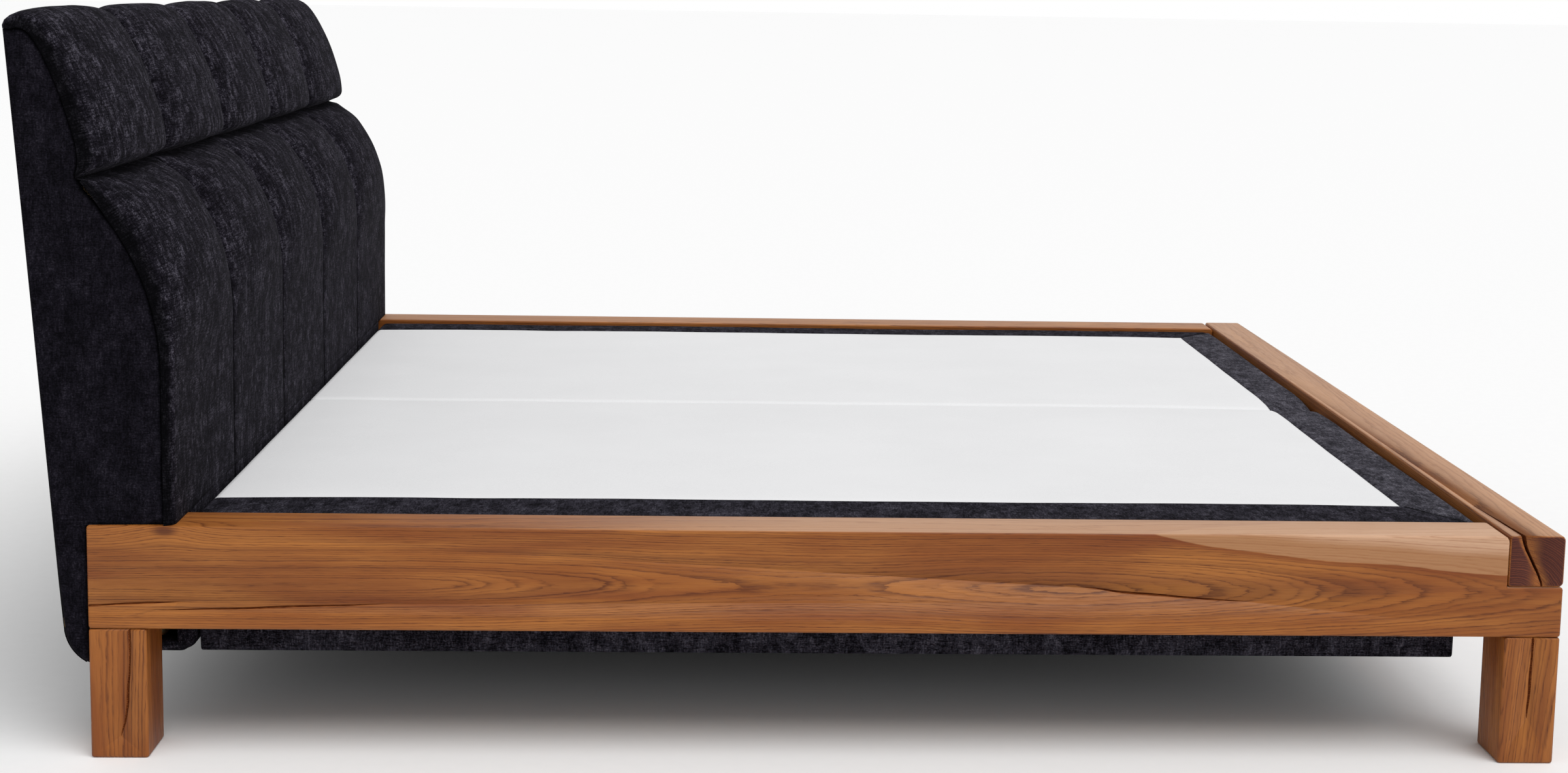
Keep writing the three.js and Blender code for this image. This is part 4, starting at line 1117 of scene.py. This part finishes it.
def skirt_line():
    """The lower panel's part between the rails: down to the hem under its edge and back."""
    down = np.linspace(RAIL_TOP + SEAT, BOARD_BOTTOM + HEM_RADIUS, 34)
    turn = np.linspace(0, np.pi / 2, 10)[1:]
    rows = [(BOARD_FRONT, z) for z in down]
    rows += [(BOARD_FRONT - HEM_RADIUS * (1 - math.cos(a)), BOARD_BOTTOM + HEM_RADIUS * (1 - math.sin(a))) for a in turn]
    rows += [(x, BOARD_BOTTOM) for x in np.linspace(BOARD_FRONT - HEM_RADIUS, BOARD_FRONT - HEM_RETURN, 8)[1:]]
    line = np.column_stack([rows, np.zeros(len(rows))])
    places = np.concatenate([[0], np.cumsum(np.linalg.norm(np.diff(line, axis=0), axis=1))])
    return np.column_stack([with_normals(line), places + WAIST - RAIL_TOP])


def profile(depth):
    """The covers' seam line in x and z, moved inward by depth, from the back hem to the rails' top."""
    rows = np.vstack([roll_line(), belly_line()])
    depth = depth * smooth_step(0, CREASE_SIDE, rows[:, 5]) + SEAT
    return np.column_stack([rows[:, 0] - rows[:, 3] * depth, rows[:, 1] - np.maximum(rows[:, 4], 0) * depth])


def back_corner(wide, tall, start, end, steps=12):
    """The lower back corner, from one right angle to another, counted from +X towards +Z."""
    centre_z = back_low.z + BACK_CORNER
    centre_x = back_at(centre_z) + BACK_CORNER
    angles = np.linspace(start, end, steps + 1) * np.pi / 2
    return np.column_stack([centre_x + wide * np.cos(angles), centre_z + tall * np.sin(angles)])


def side_outline():
    """The side panel's outline in x and z, closed down the leaning back."""
    front = profile(COVER_EDGE + SEAT)
    bottom = back_low.z + FABRIC + SEAT
    corner = back_corner(BACK_CORNER - FABRIC, BACK_CORNER - FABRIC, 3, 2)
    hem = front[0][1]
    return np.vstack([front, [[-SEAT, RAIL_TOP + SEAT], [-SEAT, bottom]], corner, [[back_at(hem), hem]]])


def outline_distance(points, outline):
    """How far each point lies from a closed outline."""
    start, end = outline, np.roll(outline, -1, axis=0)
    run = end - start
    best = np.full(len(points), 1e9)
    for a, r in zip(start, run):
        share = np.clip((points - a) @ r / max(r @ r, 1e-12), 0, 1)
        best = np.minimum(best, np.linalg.norm(points - a - share[:, None] * r, axis=1))
    return best


def span(outline, z):
    """The lowest and highest x of an outline at a height."""
    start, end = outline, np.roll(outline, -1, axis=0)
    low, high = np.minimum(start[:, 1], end[:, 1]), np.maximum(start[:, 1], end[:, 1])
    hit = (low <= z) & (z <= high) & (high > low)
    share = (z - start[hit, 1]) / (end[hit, 1] - start[hit, 1])
    x = start[hit, 0] + share * (end[hit, 0] - start[hit, 0])
    return x.min(), x.max()


def side_panels(material):
    outline = side_outline()
    bottom, top = outline[:, 1].min(), outline[:, 1].max()
    heights = np.unique(np.round(np.concatenate([
        bottom + BACK_CORNER * (1 - np.cos(np.linspace(0, np.pi / 2, 22))),
        np.arange(bottom + BACK_CORNER, RAIL_TOP, 0.012), [RAIL_TOP - 0.0004, RAIL_TOP + 0.0006],
        np.arange(RAIL_TOP + 0.012, WAIST - 0.04, 0.012), WAIST + np.linspace(-0.04, 0.04, 34),
        np.arange(WAIST + 0.045, top - 0.045, 0.008), top - 0.045 * (1 - np.sin(np.linspace(0, np.pi / 2, 22))),
    ]), 6))
    heights = np.clip(heights, bottom + 1e-5, top - 1e-5)
    shares = np.concatenate([0.05 * np.linspace(0, 1, 9)[:-1] ** 1.5, np.linspace(0.05, 0.95, 22),
                             1 - 0.05 * np.linspace(1, 0, 9)[1:] ** 1.5])
    spans = np.array([span(outline, z) for z in heights])
    x = spans[:, :1] + (spans[:, 1:] - spans[:, :1]) * shares[None, :]
    z = np.repeat(heights[:, None], len(shares), axis=1)
    inside = outline_distance(np.column_stack([x.ravel(), z.ravel()]), outline).reshape(x.shape)
    turn = SIDE_EDGE + (SIDE_WRAP - SIDE_EDGE) * (1 - smooth_step(side_low.z, side_low.z + 2 * BACK_CORNER, z))
    left = np.maximum(turn - inside, 0)
    drop = turn - np.sqrt(np.maximum(turn ** 2 - left ** 2, 0))
    puff = SIDE_PUFF * smooth_step(0, SIDE_PUFF_REACH, inside)
    for side, sign in (("left", -1), ("right", 1)):
        flat = np.stack([HEAD_X + x, 0 * x + sign * HALF_BOARD, z], axis=-1)
        ripple = wrinkle(flat, 0.16, 0.0012, sign) * np.clip(inside / 0.05, 0, 1)
        outer = flat.copy()
        outer[..., 1] = sign * (HALF_BOARD - SIDE_PUFF - drop + puff + ripple)
        inner = flat.copy()
        inner[..., 1] = sign * np.minimum(HALF_BOARD - SIDE_THICKNESS, np.abs(outer[..., 1]) - FABRIC)
        # The third weave value sets the chenille's painted shade along the panel's edges.
        weave = np.stack([x, z, inside + SIDE_EDGE / 2], axis=-1)
        obj = shell(f"headboard_side_{side}", outer, inner, material, weave)
        dress(obj, "frame", "chenille", f"headboard_side_cover_{side}")


def back_panel(material):
    """The back skin, down the leaning back, round the lower corner and forward to the hem."""
    top = profile(0)[0][1] - SEAT
    down = np.linspace(top, back_low.z + BACK_CORNER, 60)
    face = np.column_stack([[back_at(z) for z in down], down])
    corner = back_corner(BACK_CORNER, BACK_CORNER, 2, 3)[1:]
    under = np.array([[-0.0008, back_low.z], [-0.0006, back_low.z], [BOARD_FRONT - HEM_RETURN - SEAT, back_low.z]])
    line = np.vstack([face, corner, under])
    normals = with_normals(np.column_stack([line[::-1], np.zeros(len(line))]))[::-1, 3:5]
    wide = HALF_BOARD - SIDE_THICKNESS - SEAT
    narrow = leg_low.y - 0.002
    wrapped = wide - (SIDE_WRAP - SIDE_THICKNESS) * (1 - smooth_step(side_low.z, side_low.z + 2 * BACK_CORNER, line[:, 1]))
    half = np.where(line[:, 0] > -0.0007, narrow, wrapped)
    shares = np.concatenate([-1 + 0.02 * np.linspace(0, 1, 6)[:-1], np.linspace(-0.98, 0.98, 60),
                             1 - 0.02 * np.linspace(1, 0, 6)[1:]])
    y = half[:, None] * shares[None, :]
    x = HEAD_X + line[:, :1] + 0 * y
    z = line[:, 1:] + 0 * y
    flat = np.stack([x, y, z], axis=-1)
    ripple = wrinkle(flat, 0.2, 0.0015, 8.0) * np.clip((half[:, None] - np.abs(y)) / 0.05, 0, 1)
    ripple = ripple * smooth_step(0, 0.1, top - z) * smooth_step(back_low.z, back_low.z + 0.1, z)
    outward = normals * np.where(normals[:, :1] > 0, -1, 1)
    depth = np.stack([outward[:, 0], 0 * outward[:, 0], outward[:, 1]], axis=-1)[:, None, :]
    outer = flat + depth * ripple[..., None]
    inner = flat - depth * FABRIC
    length = np.concatenate([[0], np.cumsum(np.linalg.norm(np.diff(line, axis=0), axis=1))])
    # The third weave value sets the chenille's painted shade along the skin's side edges.
    weave = np.stack([y, length[:, None] + 0 * y, half[:, None] - np.abs(y) + FABRIC], axis=-1)
    obj = shell("headboard_back", outer, inner, material, weave)
    dress(obj, "frame", "chenille", "headboard_back_cover")


def headboard_foams(material):
    """Foam blocks that follow the tiers behind their covers."""
    gap = COVER_THICKNESS + SEAT
    y = np.linspace(-1, 1, 40)[None, :] * (HALF_BOARD - 0.034)
    for name, rows, thick, node in (
        ("headboard_padding_upper", roll_line(), 0.05, "headboard_foam_upper"),
        ("headboard_padding_lower", belly_line(), 0.04, "headboard_foam_lower"),
    ):
        keep = rows[(rows[:, 5] > NOTCH_ROUND + COVER_THICKNESS) & (rows[:, 3] > LIP_FACING)]
        layers = []
        for depth in (gap, gap + thick):
            x = HEAD_X + keep[:, :1] - keep[:, 3:4] * depth + 0 * y
            z = keep[:, 1:2] - np.maximum(keep[:, 4:5], 0) * depth + 0 * y
            layers.append(np.stack([x, y + 0 * x, z], axis=-1))
        obj = shell(name, *layers, material)
        dress(obj, "frame", "foam", node)


def headboard():
    front = chenille("chenille_front")
    lower = chenille("chenille_lower", streak=0.9)
    # A darker copy of the same chenille for the side panels and the back: painted shade.
    side = chenille("chenille_side_shaded", mid=linear(24, 22, 29), light=linear(54, 51, 60), streak=0.55,
                    sheen=0.04, ribs=0.55)
    roll, belly, hem = roll_line(), belly_line(), skirt_line()
    for rows in (roll, belly, hem):
        rows[:, 0] += HEAD_X
    y = channel_columns()
    between = leg_low.y - 0.0022
    narrow = np.concatenate([[-between], y[np.abs(y) < between - 0.001], [between]])
    quilted("headboard_roll", roll, y, ROLL_CROWN, ROLL_ROUND, lambda nz, z: np.maximum(nz, 0),
            COVER_EDGE, front, ["headboard_cover_upper"])
    quilted("headboard_panel", belly, y, BELLY_CROWN, BELLY_ROUND,
            lambda nz, z: nz * smooth_step(0, CREASE_REACH, WAIST - z), COVER_EDGE, lower, ["headboard_cover_lower"])
    quilted("headboard_panel_skirt", hem, narrow, 0, BELLY_ROUND, lambda nz, z: nz, SKIRT_CORNER, lower)
    side_panels(side)
    back_panel(side)
    headboard_foams(foam("foam_board", linear(226, 216, 186)))


# Box spring units

def seams(sign):
    """Where a unit's white top meets its foot band and its side band. The near side band is wider."""
    return white_high.x, white_high.y - (NEAR_BAND_EXTRA if sign < 0 else 0)


def mitre_distance(x, y, sign):
    """How far a point of the border lies from its mitre seam, and 1 beside the mitred corner."""
    foot_seam, outer_seam = seams(sign)
    wide, deep = unit_high.x - SHOULDER - foot_seam, unit_high.y - SHOULDER - outer_seam
    off = np.abs((x - foot_seam) / wide - (y - outer_seam) / deep) * min(wide, deep) / math.sqrt(2)
    return np.where((x > foot_seam - SEAT) & (y > outer_seam - SEAT), off, 1)


def edge_radius(z):
    """The radius of a unit's edges: wide round its top, and small where beams fill its cloth."""
    return LOWER_EDGE + (SHOULDER - LOWER_EDGE) * smooth_step(side_beam_high.z, unit_high.z - SHOULDER, z)


def unit_places(sign):
    """Places along the unit's axes, with its seams and the border's mitre in them."""
    near = np.array([-2.2, -1, -0.4, 0]) * SEAM_WIDTH
    foot_seam, outer_seam = seams(sign)
    step = dust_low.z + BOX_HANG
    ends = ((unit_low.x, unit_high.x), (unit_low.y, unit_high.y), (step, unit_high.z))
    fine_x, fine_y, fine_z = (edge_places(low, high, LOWER_EDGE, high - low) for low, high in ends)
    mitre_x = np.linspace(foot_seam, unit_high.x - SHOULDER - FLAT_RIM, MITRE_STEPS + 1)
    mitre_y = np.linspace(outer_seam, unit_high.y - SHOULDER - FLAT_RIM, MITRE_STEPS + 1)
    x = edge_places(*ends[0], SHOULDER, UNIT_STEP, [*(foot_seam + near), *fine_x, *mitre_x])
    y = edge_places(*ends[1], SHOULDER, UNIT_STEP, [*(outer_seam + near), *fine_y, *mitre_y])
    x = with_mitre(x, foot_seam, unit_high.x - SHOULDER, [*mitre_x, dust_high.x + DUST_INSET])
    y = with_mitre(y, outer_seam, unit_high.y - SHOULDER, [*mitre_y, dust_high.y + DUST_INSET])
    y = np.unique(np.append(y, dust_low.y - DUST_INSET))
    z = edge_places(*ends[2], SHOULDER, 0.03, [white_low.z, side_beam_high.z, *fine_z])
    return x, y, z, step


def with_mitre(places, seam, shoulder, mitre):
    """Places outside the border's flat part, and the mitre's own inside it."""
    outside = places[(places <= seam) | (places >= shoulder)]
    return np.unique(np.round(np.concatenate([outside, mitre]), 7))


def part_of(points, faces, chosen):
    """The chosen faces with only the points that they use."""
    faces = [f for f, keep in zip(faces, chosen) if keep]
    used = sorted({i for f in faces for i in f})
    number = {old: new for new, old in enumerate(used)}
    return points[used], [[number[i] for i in f] for f in faces], used


def thicken(obj, depth):
    """Gives a surface its thickness on the inside."""
    modifier = obj.modifiers.new("thickness", "SOLIDIFY")
    modifier.thickness = depth
    modifier.offset = -1
    apply_modifiers(obj)


def surface_object(name, points, faces, material, weave=None):
    mesh = bpy.data.meshes.new(name)
    mesh.from_pydata([tuple(map(float, p)) for p in points], [], faces)
    mesh.polygons.foreach_set("use_smooth", [True] * len(mesh.polygons))
    obj = make_object(name, mesh, material)
    if weave is not None:
        set_weave(obj, weave)
    return obj


def unit_weave(points, sign, seam=1.0):
    """Where points of a unit lie on its cloth, whose threads run along the bed, and how far from a seam, which sets the
    painted seam shade.
    """
    low, high = points.min(axis=0), points.max(axis=0)
    x, y = points[:, 0], points[:, 1] * sign
    low_y, high_y = sorted((low[1] * sign, high[1] * sign))
    down = high[2] - points[:, 2]
    to_side = np.minimum(y - low_y, high_y - y)
    to_end = np.minimum(x - low[0], high[0] - x)
    end = to_end < to_side
    across = x + np.where(end, down, 0)
    along = y + np.where(end, 0, down)
    return np.column_stack([across, along, seam + 0 * x])


def top_fall(x, y, sign):
    """How far a unit's top lies below its crown, at its edges and beside the other unit's foot corner."""
    length_share = np.abs(2 * (x - unit_low.x) / (unit_high.x - unit_low.x) - 1)
    width_share = np.abs(2 * (y - unit_low.y) / (unit_high.y - unit_low.y) - 1)
    edges = (np.clip(np.maximum(length_share, width_share) - 0.5, 0, 1) * 2) ** 2
    inner_side = np.exp(-((y - unit_low.y) / JOINT_REACH) ** 2)
    near_foot = smooth_step(white_high.x - JOINT_START, white_high.x, x)
    corner = np.exp(-(np.hypot(y - unit_low.y, unit_high.x - x) / CORNER_REACH) ** 2)
    corner_fall = CORNER_FALL if sign > 0 else CORNER_FALL_NEAR
    return UNIT_CROWN * edges + JOINT_FALL * inner_side * near_foot + corner_fall * corner


def shape_top(points, sign):
    """Lets a unit's top rise a little in its middle, and presses its seams in."""
    x, y, z = points.T
    foot_seam, outer_seam = seams(sign)
    fall = top_fall(x, y, sign) * np.clip((z - unit_high.z) / FALL_REACH + 1, 0, 1)
    on_top = smooth_step(unit_high.z - SHOULDER - 0.002, unit_high.z, z)
    to_foot = np.where(y <= outer_seam + SEAM_WIDTH, np.abs(x - foot_seam), 1)
    to_side = np.where(x <= foot_seam + SEAM_WIDTH, np.abs(y - outer_seam), 1)
    mitre = mitre_distance(x, y, sign)
    groove = sum(np.exp(-(d / SEAM_WIDTH) ** 2) for d in (to_foot, to_side, mitre))
    dark = (x > foot_seam) | (y > outer_seam)
    bulge = np.where(dark, 0.0012, 0)
    soft = np.array([0.0011 * noise.noise(Vector((a * 3.2, b * 4.1, 2.0))) + 0.0006 * noise.noise(Vector((a * 9, b * 12, 5.0)))
                     for a, b in zip(x, y)])
    z = z - fall + on_top * (bulge + soft - SEAM_GROOVE * np.clip(groove, 0, 1))
    return np.column_stack([x, y, z])


def unit(side, sign):
    body = f"box_{side}"
    x, y, z, step = unit_places(sign)
    foot_seam, outer_seam = seams(sign)
    low = np.array([unit_low.x, unit_low.y, step])
    high = np.array(unit_high)
    points, faces = block_surface([x, y, z])
    centres = np.array([points[f].mean(axis=0) for f in faces])
    points = shape_top(rounded(points, low, high, edge_radius(points[:, 2:])), sign)
    white = (centres[:, 0] < foot_seam) & (centres[:, 1] < outer_seam) & (centres[:, 2] > white_low.z)
    under = ((centres[:, 2] < step + 1e-6) & (centres[:, 0] < dust_high.x + DUST_INSET)
             & (centres[:, 1] > dust_low.y - DUST_INSET) & (centres[:, 1] < dust_high.y + DUST_INSET))
    # The border's painted shade along its mitre seam, narrowed by MITRE_SHARPNESS.
    seam = MITRE_SHARPNESS * mitre_distance(points[:, 0], points[:, 1], sign)
    points = points * [1, sign, 1]
    if sign < 0:
        faces = [[f[0], *f[:0:-1]] for f in faces]
    top_points, top_faces, _ = part_of(points, faces, white)
    top = surface_object(f"{body}_ticking", top_points, top_faces, ticking_material)
    thicken(top, COVER_GAUGE)
    dress(top, body, "ticking", f"{body}_top_cover")
    edge_points, edge_faces, used = part_of(points, faces, ~white & ~under)
    weave = unit_weave(points, sign, seam)[used]
    border = surface_object(f"{body}_border", edge_points, edge_faces, border_material, weave)
    # The foot band's faces take the lighter copy of the border cloth, which is painted light.
    border.data.materials.append(foot_band_lit_material)
    for face in border.data.polygons:
        to_foot = (face.center.x - foot_seam) / (unit_high.x - SHOULDER - foot_seam)
        to_side = (abs(face.center.y) - outer_seam) / (unit_high.y - SHOULDER - outer_seam)
        face.material_index = int(to_foot > max(to_side, 0))
    thicken(border, COVER_GAUGE)
    dress(border, body, "chenille", f"{body}_border_cover")
    unit_tray(body, sign, step)
    unit_inside(body, sign)


def unit_tray(body, sign, step):
    """The lower part's cloth, from the ledge step down to the hem under the unit."""
    low = np.array([unit_low.x, dust_low.y - DUST_INSET, dust_low.z])
    high = np.array([dust_high.x + DUST_INSET, dust_high.y + DUST_INSET, step + 0.012])
    places = [edge_places(a, b, LOWER_EDGE, 0.03) for a, b in zip(low, high)]
    places[0] = np.unique(np.append(places[0], [dust_low.x, dust_high.x]))
    places[1] = np.unique(np.append(places[1], [dust_low.y, dust_high.y]))
    points, faces = block_surface(places)
    centres = np.array([points[f].mean(axis=0) for f in faces])
    points = rounded(points, low, high, LOWER_EDGE)
    hole = ((centres[:, 0] > dust_low.x) & (centres[:, 0] < dust_high.x) & (centres[:, 1] > dust_low.y)
            & (centres[:, 1] < dust_high.y) & (centres[:, 2] < low[2] + 1e-5))
    lid = centres[:, 2] > high[2] - 1e-5
    points = points * [1, sign, 1]
    if sign < 0:
        faces = [f[::-1] for f in faces]
    sway = np.array([0.0012 + 0.002 * noise.noise(Vector((p[0] * 7, p[1] * 7, p[2] * 16))) for p in points])
    middle = (low + high) / 2 * [1, sign, 1]
    away = points - middle
    wall = (points[:, 2] > low[2] + LOWER_EDGE) & (points[:, 2] < step - 0.01)
    outward = np.where(np.abs(away[:, :1]) / (high[0] - low[0]) > np.abs(away[:, 1:2]) / (high[1] - low[1]),
                       np.column_stack([np.sign(away[:, 0]), 0 * sway]), np.column_stack([0 * sway, np.sign(away[:, 1])]))
    points[:, :2] += outward * (sway * wall)[:, None]
    weave = unit_weave(points, sign)
    kept, kept_faces, used = part_of(points, faces, ~hole & ~lid)
    tray = surface_object(f"{body}_lower_border", kept, kept_faces, border_material, weave[used])
    thicken(tray, COVER_GAUGE)
    dress(tray, body, "chenille")


def unit_inside(body, sign):
    """The dust cover, felt, foam and springs of a unit."""
    def mirrored(name):
        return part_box(f"{body}_{name}")

    low, high = mirrored("dust_cover")
    dust = rounded_block(f"{body}_dust_cloth", low, high, (high.z - low.z) * 0.3, 0.05, dust_material)
    dress(dust, body, "non_woven", f"{body}_dust_cover")
    low, high = mirrored("felt_pad")
    pad = rounded_block(f"{body}_felt", low, high, (high.z - low.z) * 0.4, 0.05, felt_material)
    dress(pad, body, "felt", f"{body}_felt_pad")
    low, high = mirrored("foam_pad")
    high.z -= UNIT_CROWN
    cushion = rounded_block(f"{body}_foam", low, high, (high.z - low.z) * 0.45, UNIT_STEP, foam_material)
    sign = 1 if high.y > -low.y else -1
    for vertex in cushion.data.vertices:
        share = (vertex.co.z - low.z) / (high.z - low.z)
        vertex.co.z -= share * float(top_fall(vertex.co.x, abs(vertex.co.y), sign))
    dress(cushion, body, "foam", f"{body}_foam_pad")
    springs(body)


def springs(body):
    """Pocket springs in their cloth: rows of barrels that fill the spring core."""
    low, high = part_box(f"{body}_spring_core")
    pitch = 0.06
    count_x, count_y = int((high.x - low.x) / pitch), int((high.y - low.y) / pitch)
    pitch_x, pitch_y = (high.x - low.x) / count_x, (high.y - low.y) / count_y
    sides = 12
    profile_shares = ((0, 0), (0.62, 0), (0.82, 0.06), (0.98, 0.22), (1, 0.5), (0.98, 0.78), (0.82, 0.94), (0.62, 1), (0, 1))
    angles = np.arange(sides) / sides * 2 * np.pi
    points, faces = [], []
    for i in range(count_x):
        for j in range(count_y):
            centre = (low.x + (i + 0.5) * pitch_x, low.y + (j + 0.5) * pitch_y)
            start = len(points)
            points.append((*centre, low.z))
            for wide, tall in profile_shares[1:-1]:
                for angle in angles:
                    points.append((centre[0] + wide * pitch_x * 0.498 * math.cos(angle),
                                   centre[1] + wide * pitch_y * 0.498 * math.sin(angle),
                                   low.z + tall * (high.z - low.z)))
            points.append((*centre, high.z))
            last = len(points) - 1
            rings = len(profile_shares) - 2
            for k in range(sides):
                n = (k + 1) % sides
                faces.append([start, start + 1 + n, start + 1 + k])
                faces.append([last, last - sides + k, last - sides + n])
                for ring in range(rings - 1):
                    a = start + 1 + ring * sides
                    faces.append([a + k, a + n, a + sides + n, a + sides + k])
    mesh = bpy.data.meshes.new(f"{body}_springs")
    mesh.from_pydata(points, [], faces)
    mesh.polygons.foreach_set("use_smooth", [True] * len(mesh.polygons))
    obj = make_object(f"{body}_springs", mesh, spring_material)
    dress(obj, body, "spring_cloth", f"{body}_spring_core")


# Carried-over pieces

def paint(node, material):
    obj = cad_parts[node]
    for slot in obj.material_slots:
        slot.material = material


def paint_carried_pieces():
    pine_light, pine_dark = linear(214, 178, 128), linear(176, 130, 82)
    ply_light, ply_dark = linear(214, 186, 142), linear(168, 126, 84)
    battens = [softwood(f"batten_{'xyz'[axis]}", axis, pine_light, pine_dark) for axis in range(3)]
    plies = [plywood(f"plywood_{'xyz'[axis]}", axis, ply_light, ply_dark) for axis in range(3)]
    rods = threaded_steel("zinc_thread")
    black = steel("black_steel", linear(30, 31, 34), 0.42, linear(62, 62, 66))
    for side in ("left", "right"):
        paint(f"ledge_{side}", battens[0])
        paint(f"headboard_post_{side}", battens[2])
        paint(f"headboard_cheek_{side}", plies[1])
        paint(f"headboard_rib_{side}", plies[1])
        for end in ("head", "foot"):
            paint(f"leg_rod_{end}_{side}", rods)
        for place in ("lower", "upper"):
            paint(f"headboard_bolt_{place}_{side}", black)
        for name, axis in (("outer_beam", 0), ("inner_beam", 0), ("head_beam", 1), ("foot_beam", 1)):
            paint(f"box_{side}_{name}", battens[axis])
        paint(f"box_{side}_base_board", plies[2])
    for end in ("head", "foot"):
        paint(f"centre_hanger_{end}", black)
    for name in ("top", "middle", "bottom"):
        paint(f"headboard_{name}_rail", battens[1])
    paint("centre_beam", battens[0])
    paint("headboard_front_board", plies[0])


# Studio

CAMERA_PLACE = (-0.13439, -4.01353, 1.17438)
CAMERA_YAW = -0.03401
CAMERA_PITCH = -0.11875
CAMERA_ROLL = 0.01676
CAMERA_LENS = 47.392
CAMERA_SHIFT = -0.1
FLOOR_HALF = 80
AMBIENT = 0.55
KEY_STRENGTH = 1.55
FILL_STRENGTH = 0.35


def camera():
    data = bpy.data.cameras.new("camera")
    data.sensor_width = 36
    data.lens = CAMERA_LENS
    data.shift_y = CAMERA_SHIFT
    obj = bpy.data.objects.new("camera", data)
    turn = (Matrix.Rotation(CAMERA_YAW, 4, "Z") @ Matrix.Rotation(CAMERA_PITCH + math.pi / 2, 4, "X")
            @ Matrix.Rotation(CAMERA_ROLL, 4, "Z"))
    obj.matrix_world = Matrix.Translation(CAMERA_PLACE) @ turn
    bpy.context.scene.collection.objects.link(obj)
    bpy.context.scene.camera = obj


def sun(name, towards, strength, softness):
    data = bpy.data.lights.new(name, "SUN")
    data.energy = strength
    data.angle = softness
    obj = bpy.data.objects.new(name, data)
    obj.rotation_euler = Vector(towards).to_track_quat("Z", "Y").to_euler()
    bpy.context.scene.collection.objects.link(obj)


def studio():
    corners = [(-FLOOR_HALF, -FLOOR_HALF, 0), (FLOOR_HALF, -FLOOR_HALF, 0), (FLOOR_HALF, FLOOR_HALF, 0),
               (-FLOOR_HALF, FLOOR_HALF, 0)]
    floor = surface_object("floor", corners, [[0, 1, 2, 3]], floor_material("floor"))
    sun("key", (0.30, -0.45, 1.0), KEY_STRENGTH, math.radians(40))
    sun("fill", (0.9, -0.25, 0.55), FILL_STRENGTH, math.radians(60))
    world = bpy.data.worlds.new("studio")
    world.use_nodes = True
    nodes, links = world.node_tree.nodes, world.node_tree.links
    around = nodes["Background"]
    around.inputs["Color"].default_value = (1, 1, 1, 1)
    around.inputs["Strength"].default_value = AMBIENT
    behind = nodes.new("ShaderNodeBackground")
    behind.inputs["Color"].default_value = (1, 1, 1, 1)
    behind.inputs["Strength"].default_value = 1.0
    path = nodes.new("ShaderNodeLightPath")
    mixed = nodes.new("ShaderNodeMixShader")
    links.new(path.outputs["Is Camera Ray"], mixed.inputs[0])
    links.new(around.outputs[0], mixed.inputs[1])
    links.new(behind.outputs[0], mixed.inputs[2])
    links.new(mixed.outputs[0], nodes["World Output"].inputs[0])
    bpy.context.scene.world = world
    settings = bpy.context.scene.view_settings
    settings.view_transform = "Standard"
    settings.look = "None"


camera()
studio()
border_material = chenille("chenille_border", mid=linear(46, 44, 52), light=linear(94, 92, 102), streak=0.7)
# A lighter copy of the border chenille for the foot band, which faces up: painted light.
foot_band_lit_material = chenille("chenille_foot_band_lit", dark=linear(32, 31, 36), mid=linear(74, 72, 80),
                              light=linear(136, 134, 144), streak=0.7)
crack_shade_material = crack_shade_wood("crack")
ticking_material = ticking("ticking")
dust_material = non_woven("dust_cloth")
felt_material = felt("felt", linear(120, 116, 106), linear(168, 162, 148))
foam_material = foam("foam_unit", linear(232, 222, 190))
spring_material = non_woven("spring_cloth")
side_rails()
foot_beam()
legs()
centre_leg()
headboard()
for unit_side, unit_sign in (("left", -1), ("right", 1)):
    unit(unit_side, unit_sign)
paint_carried_pieces()
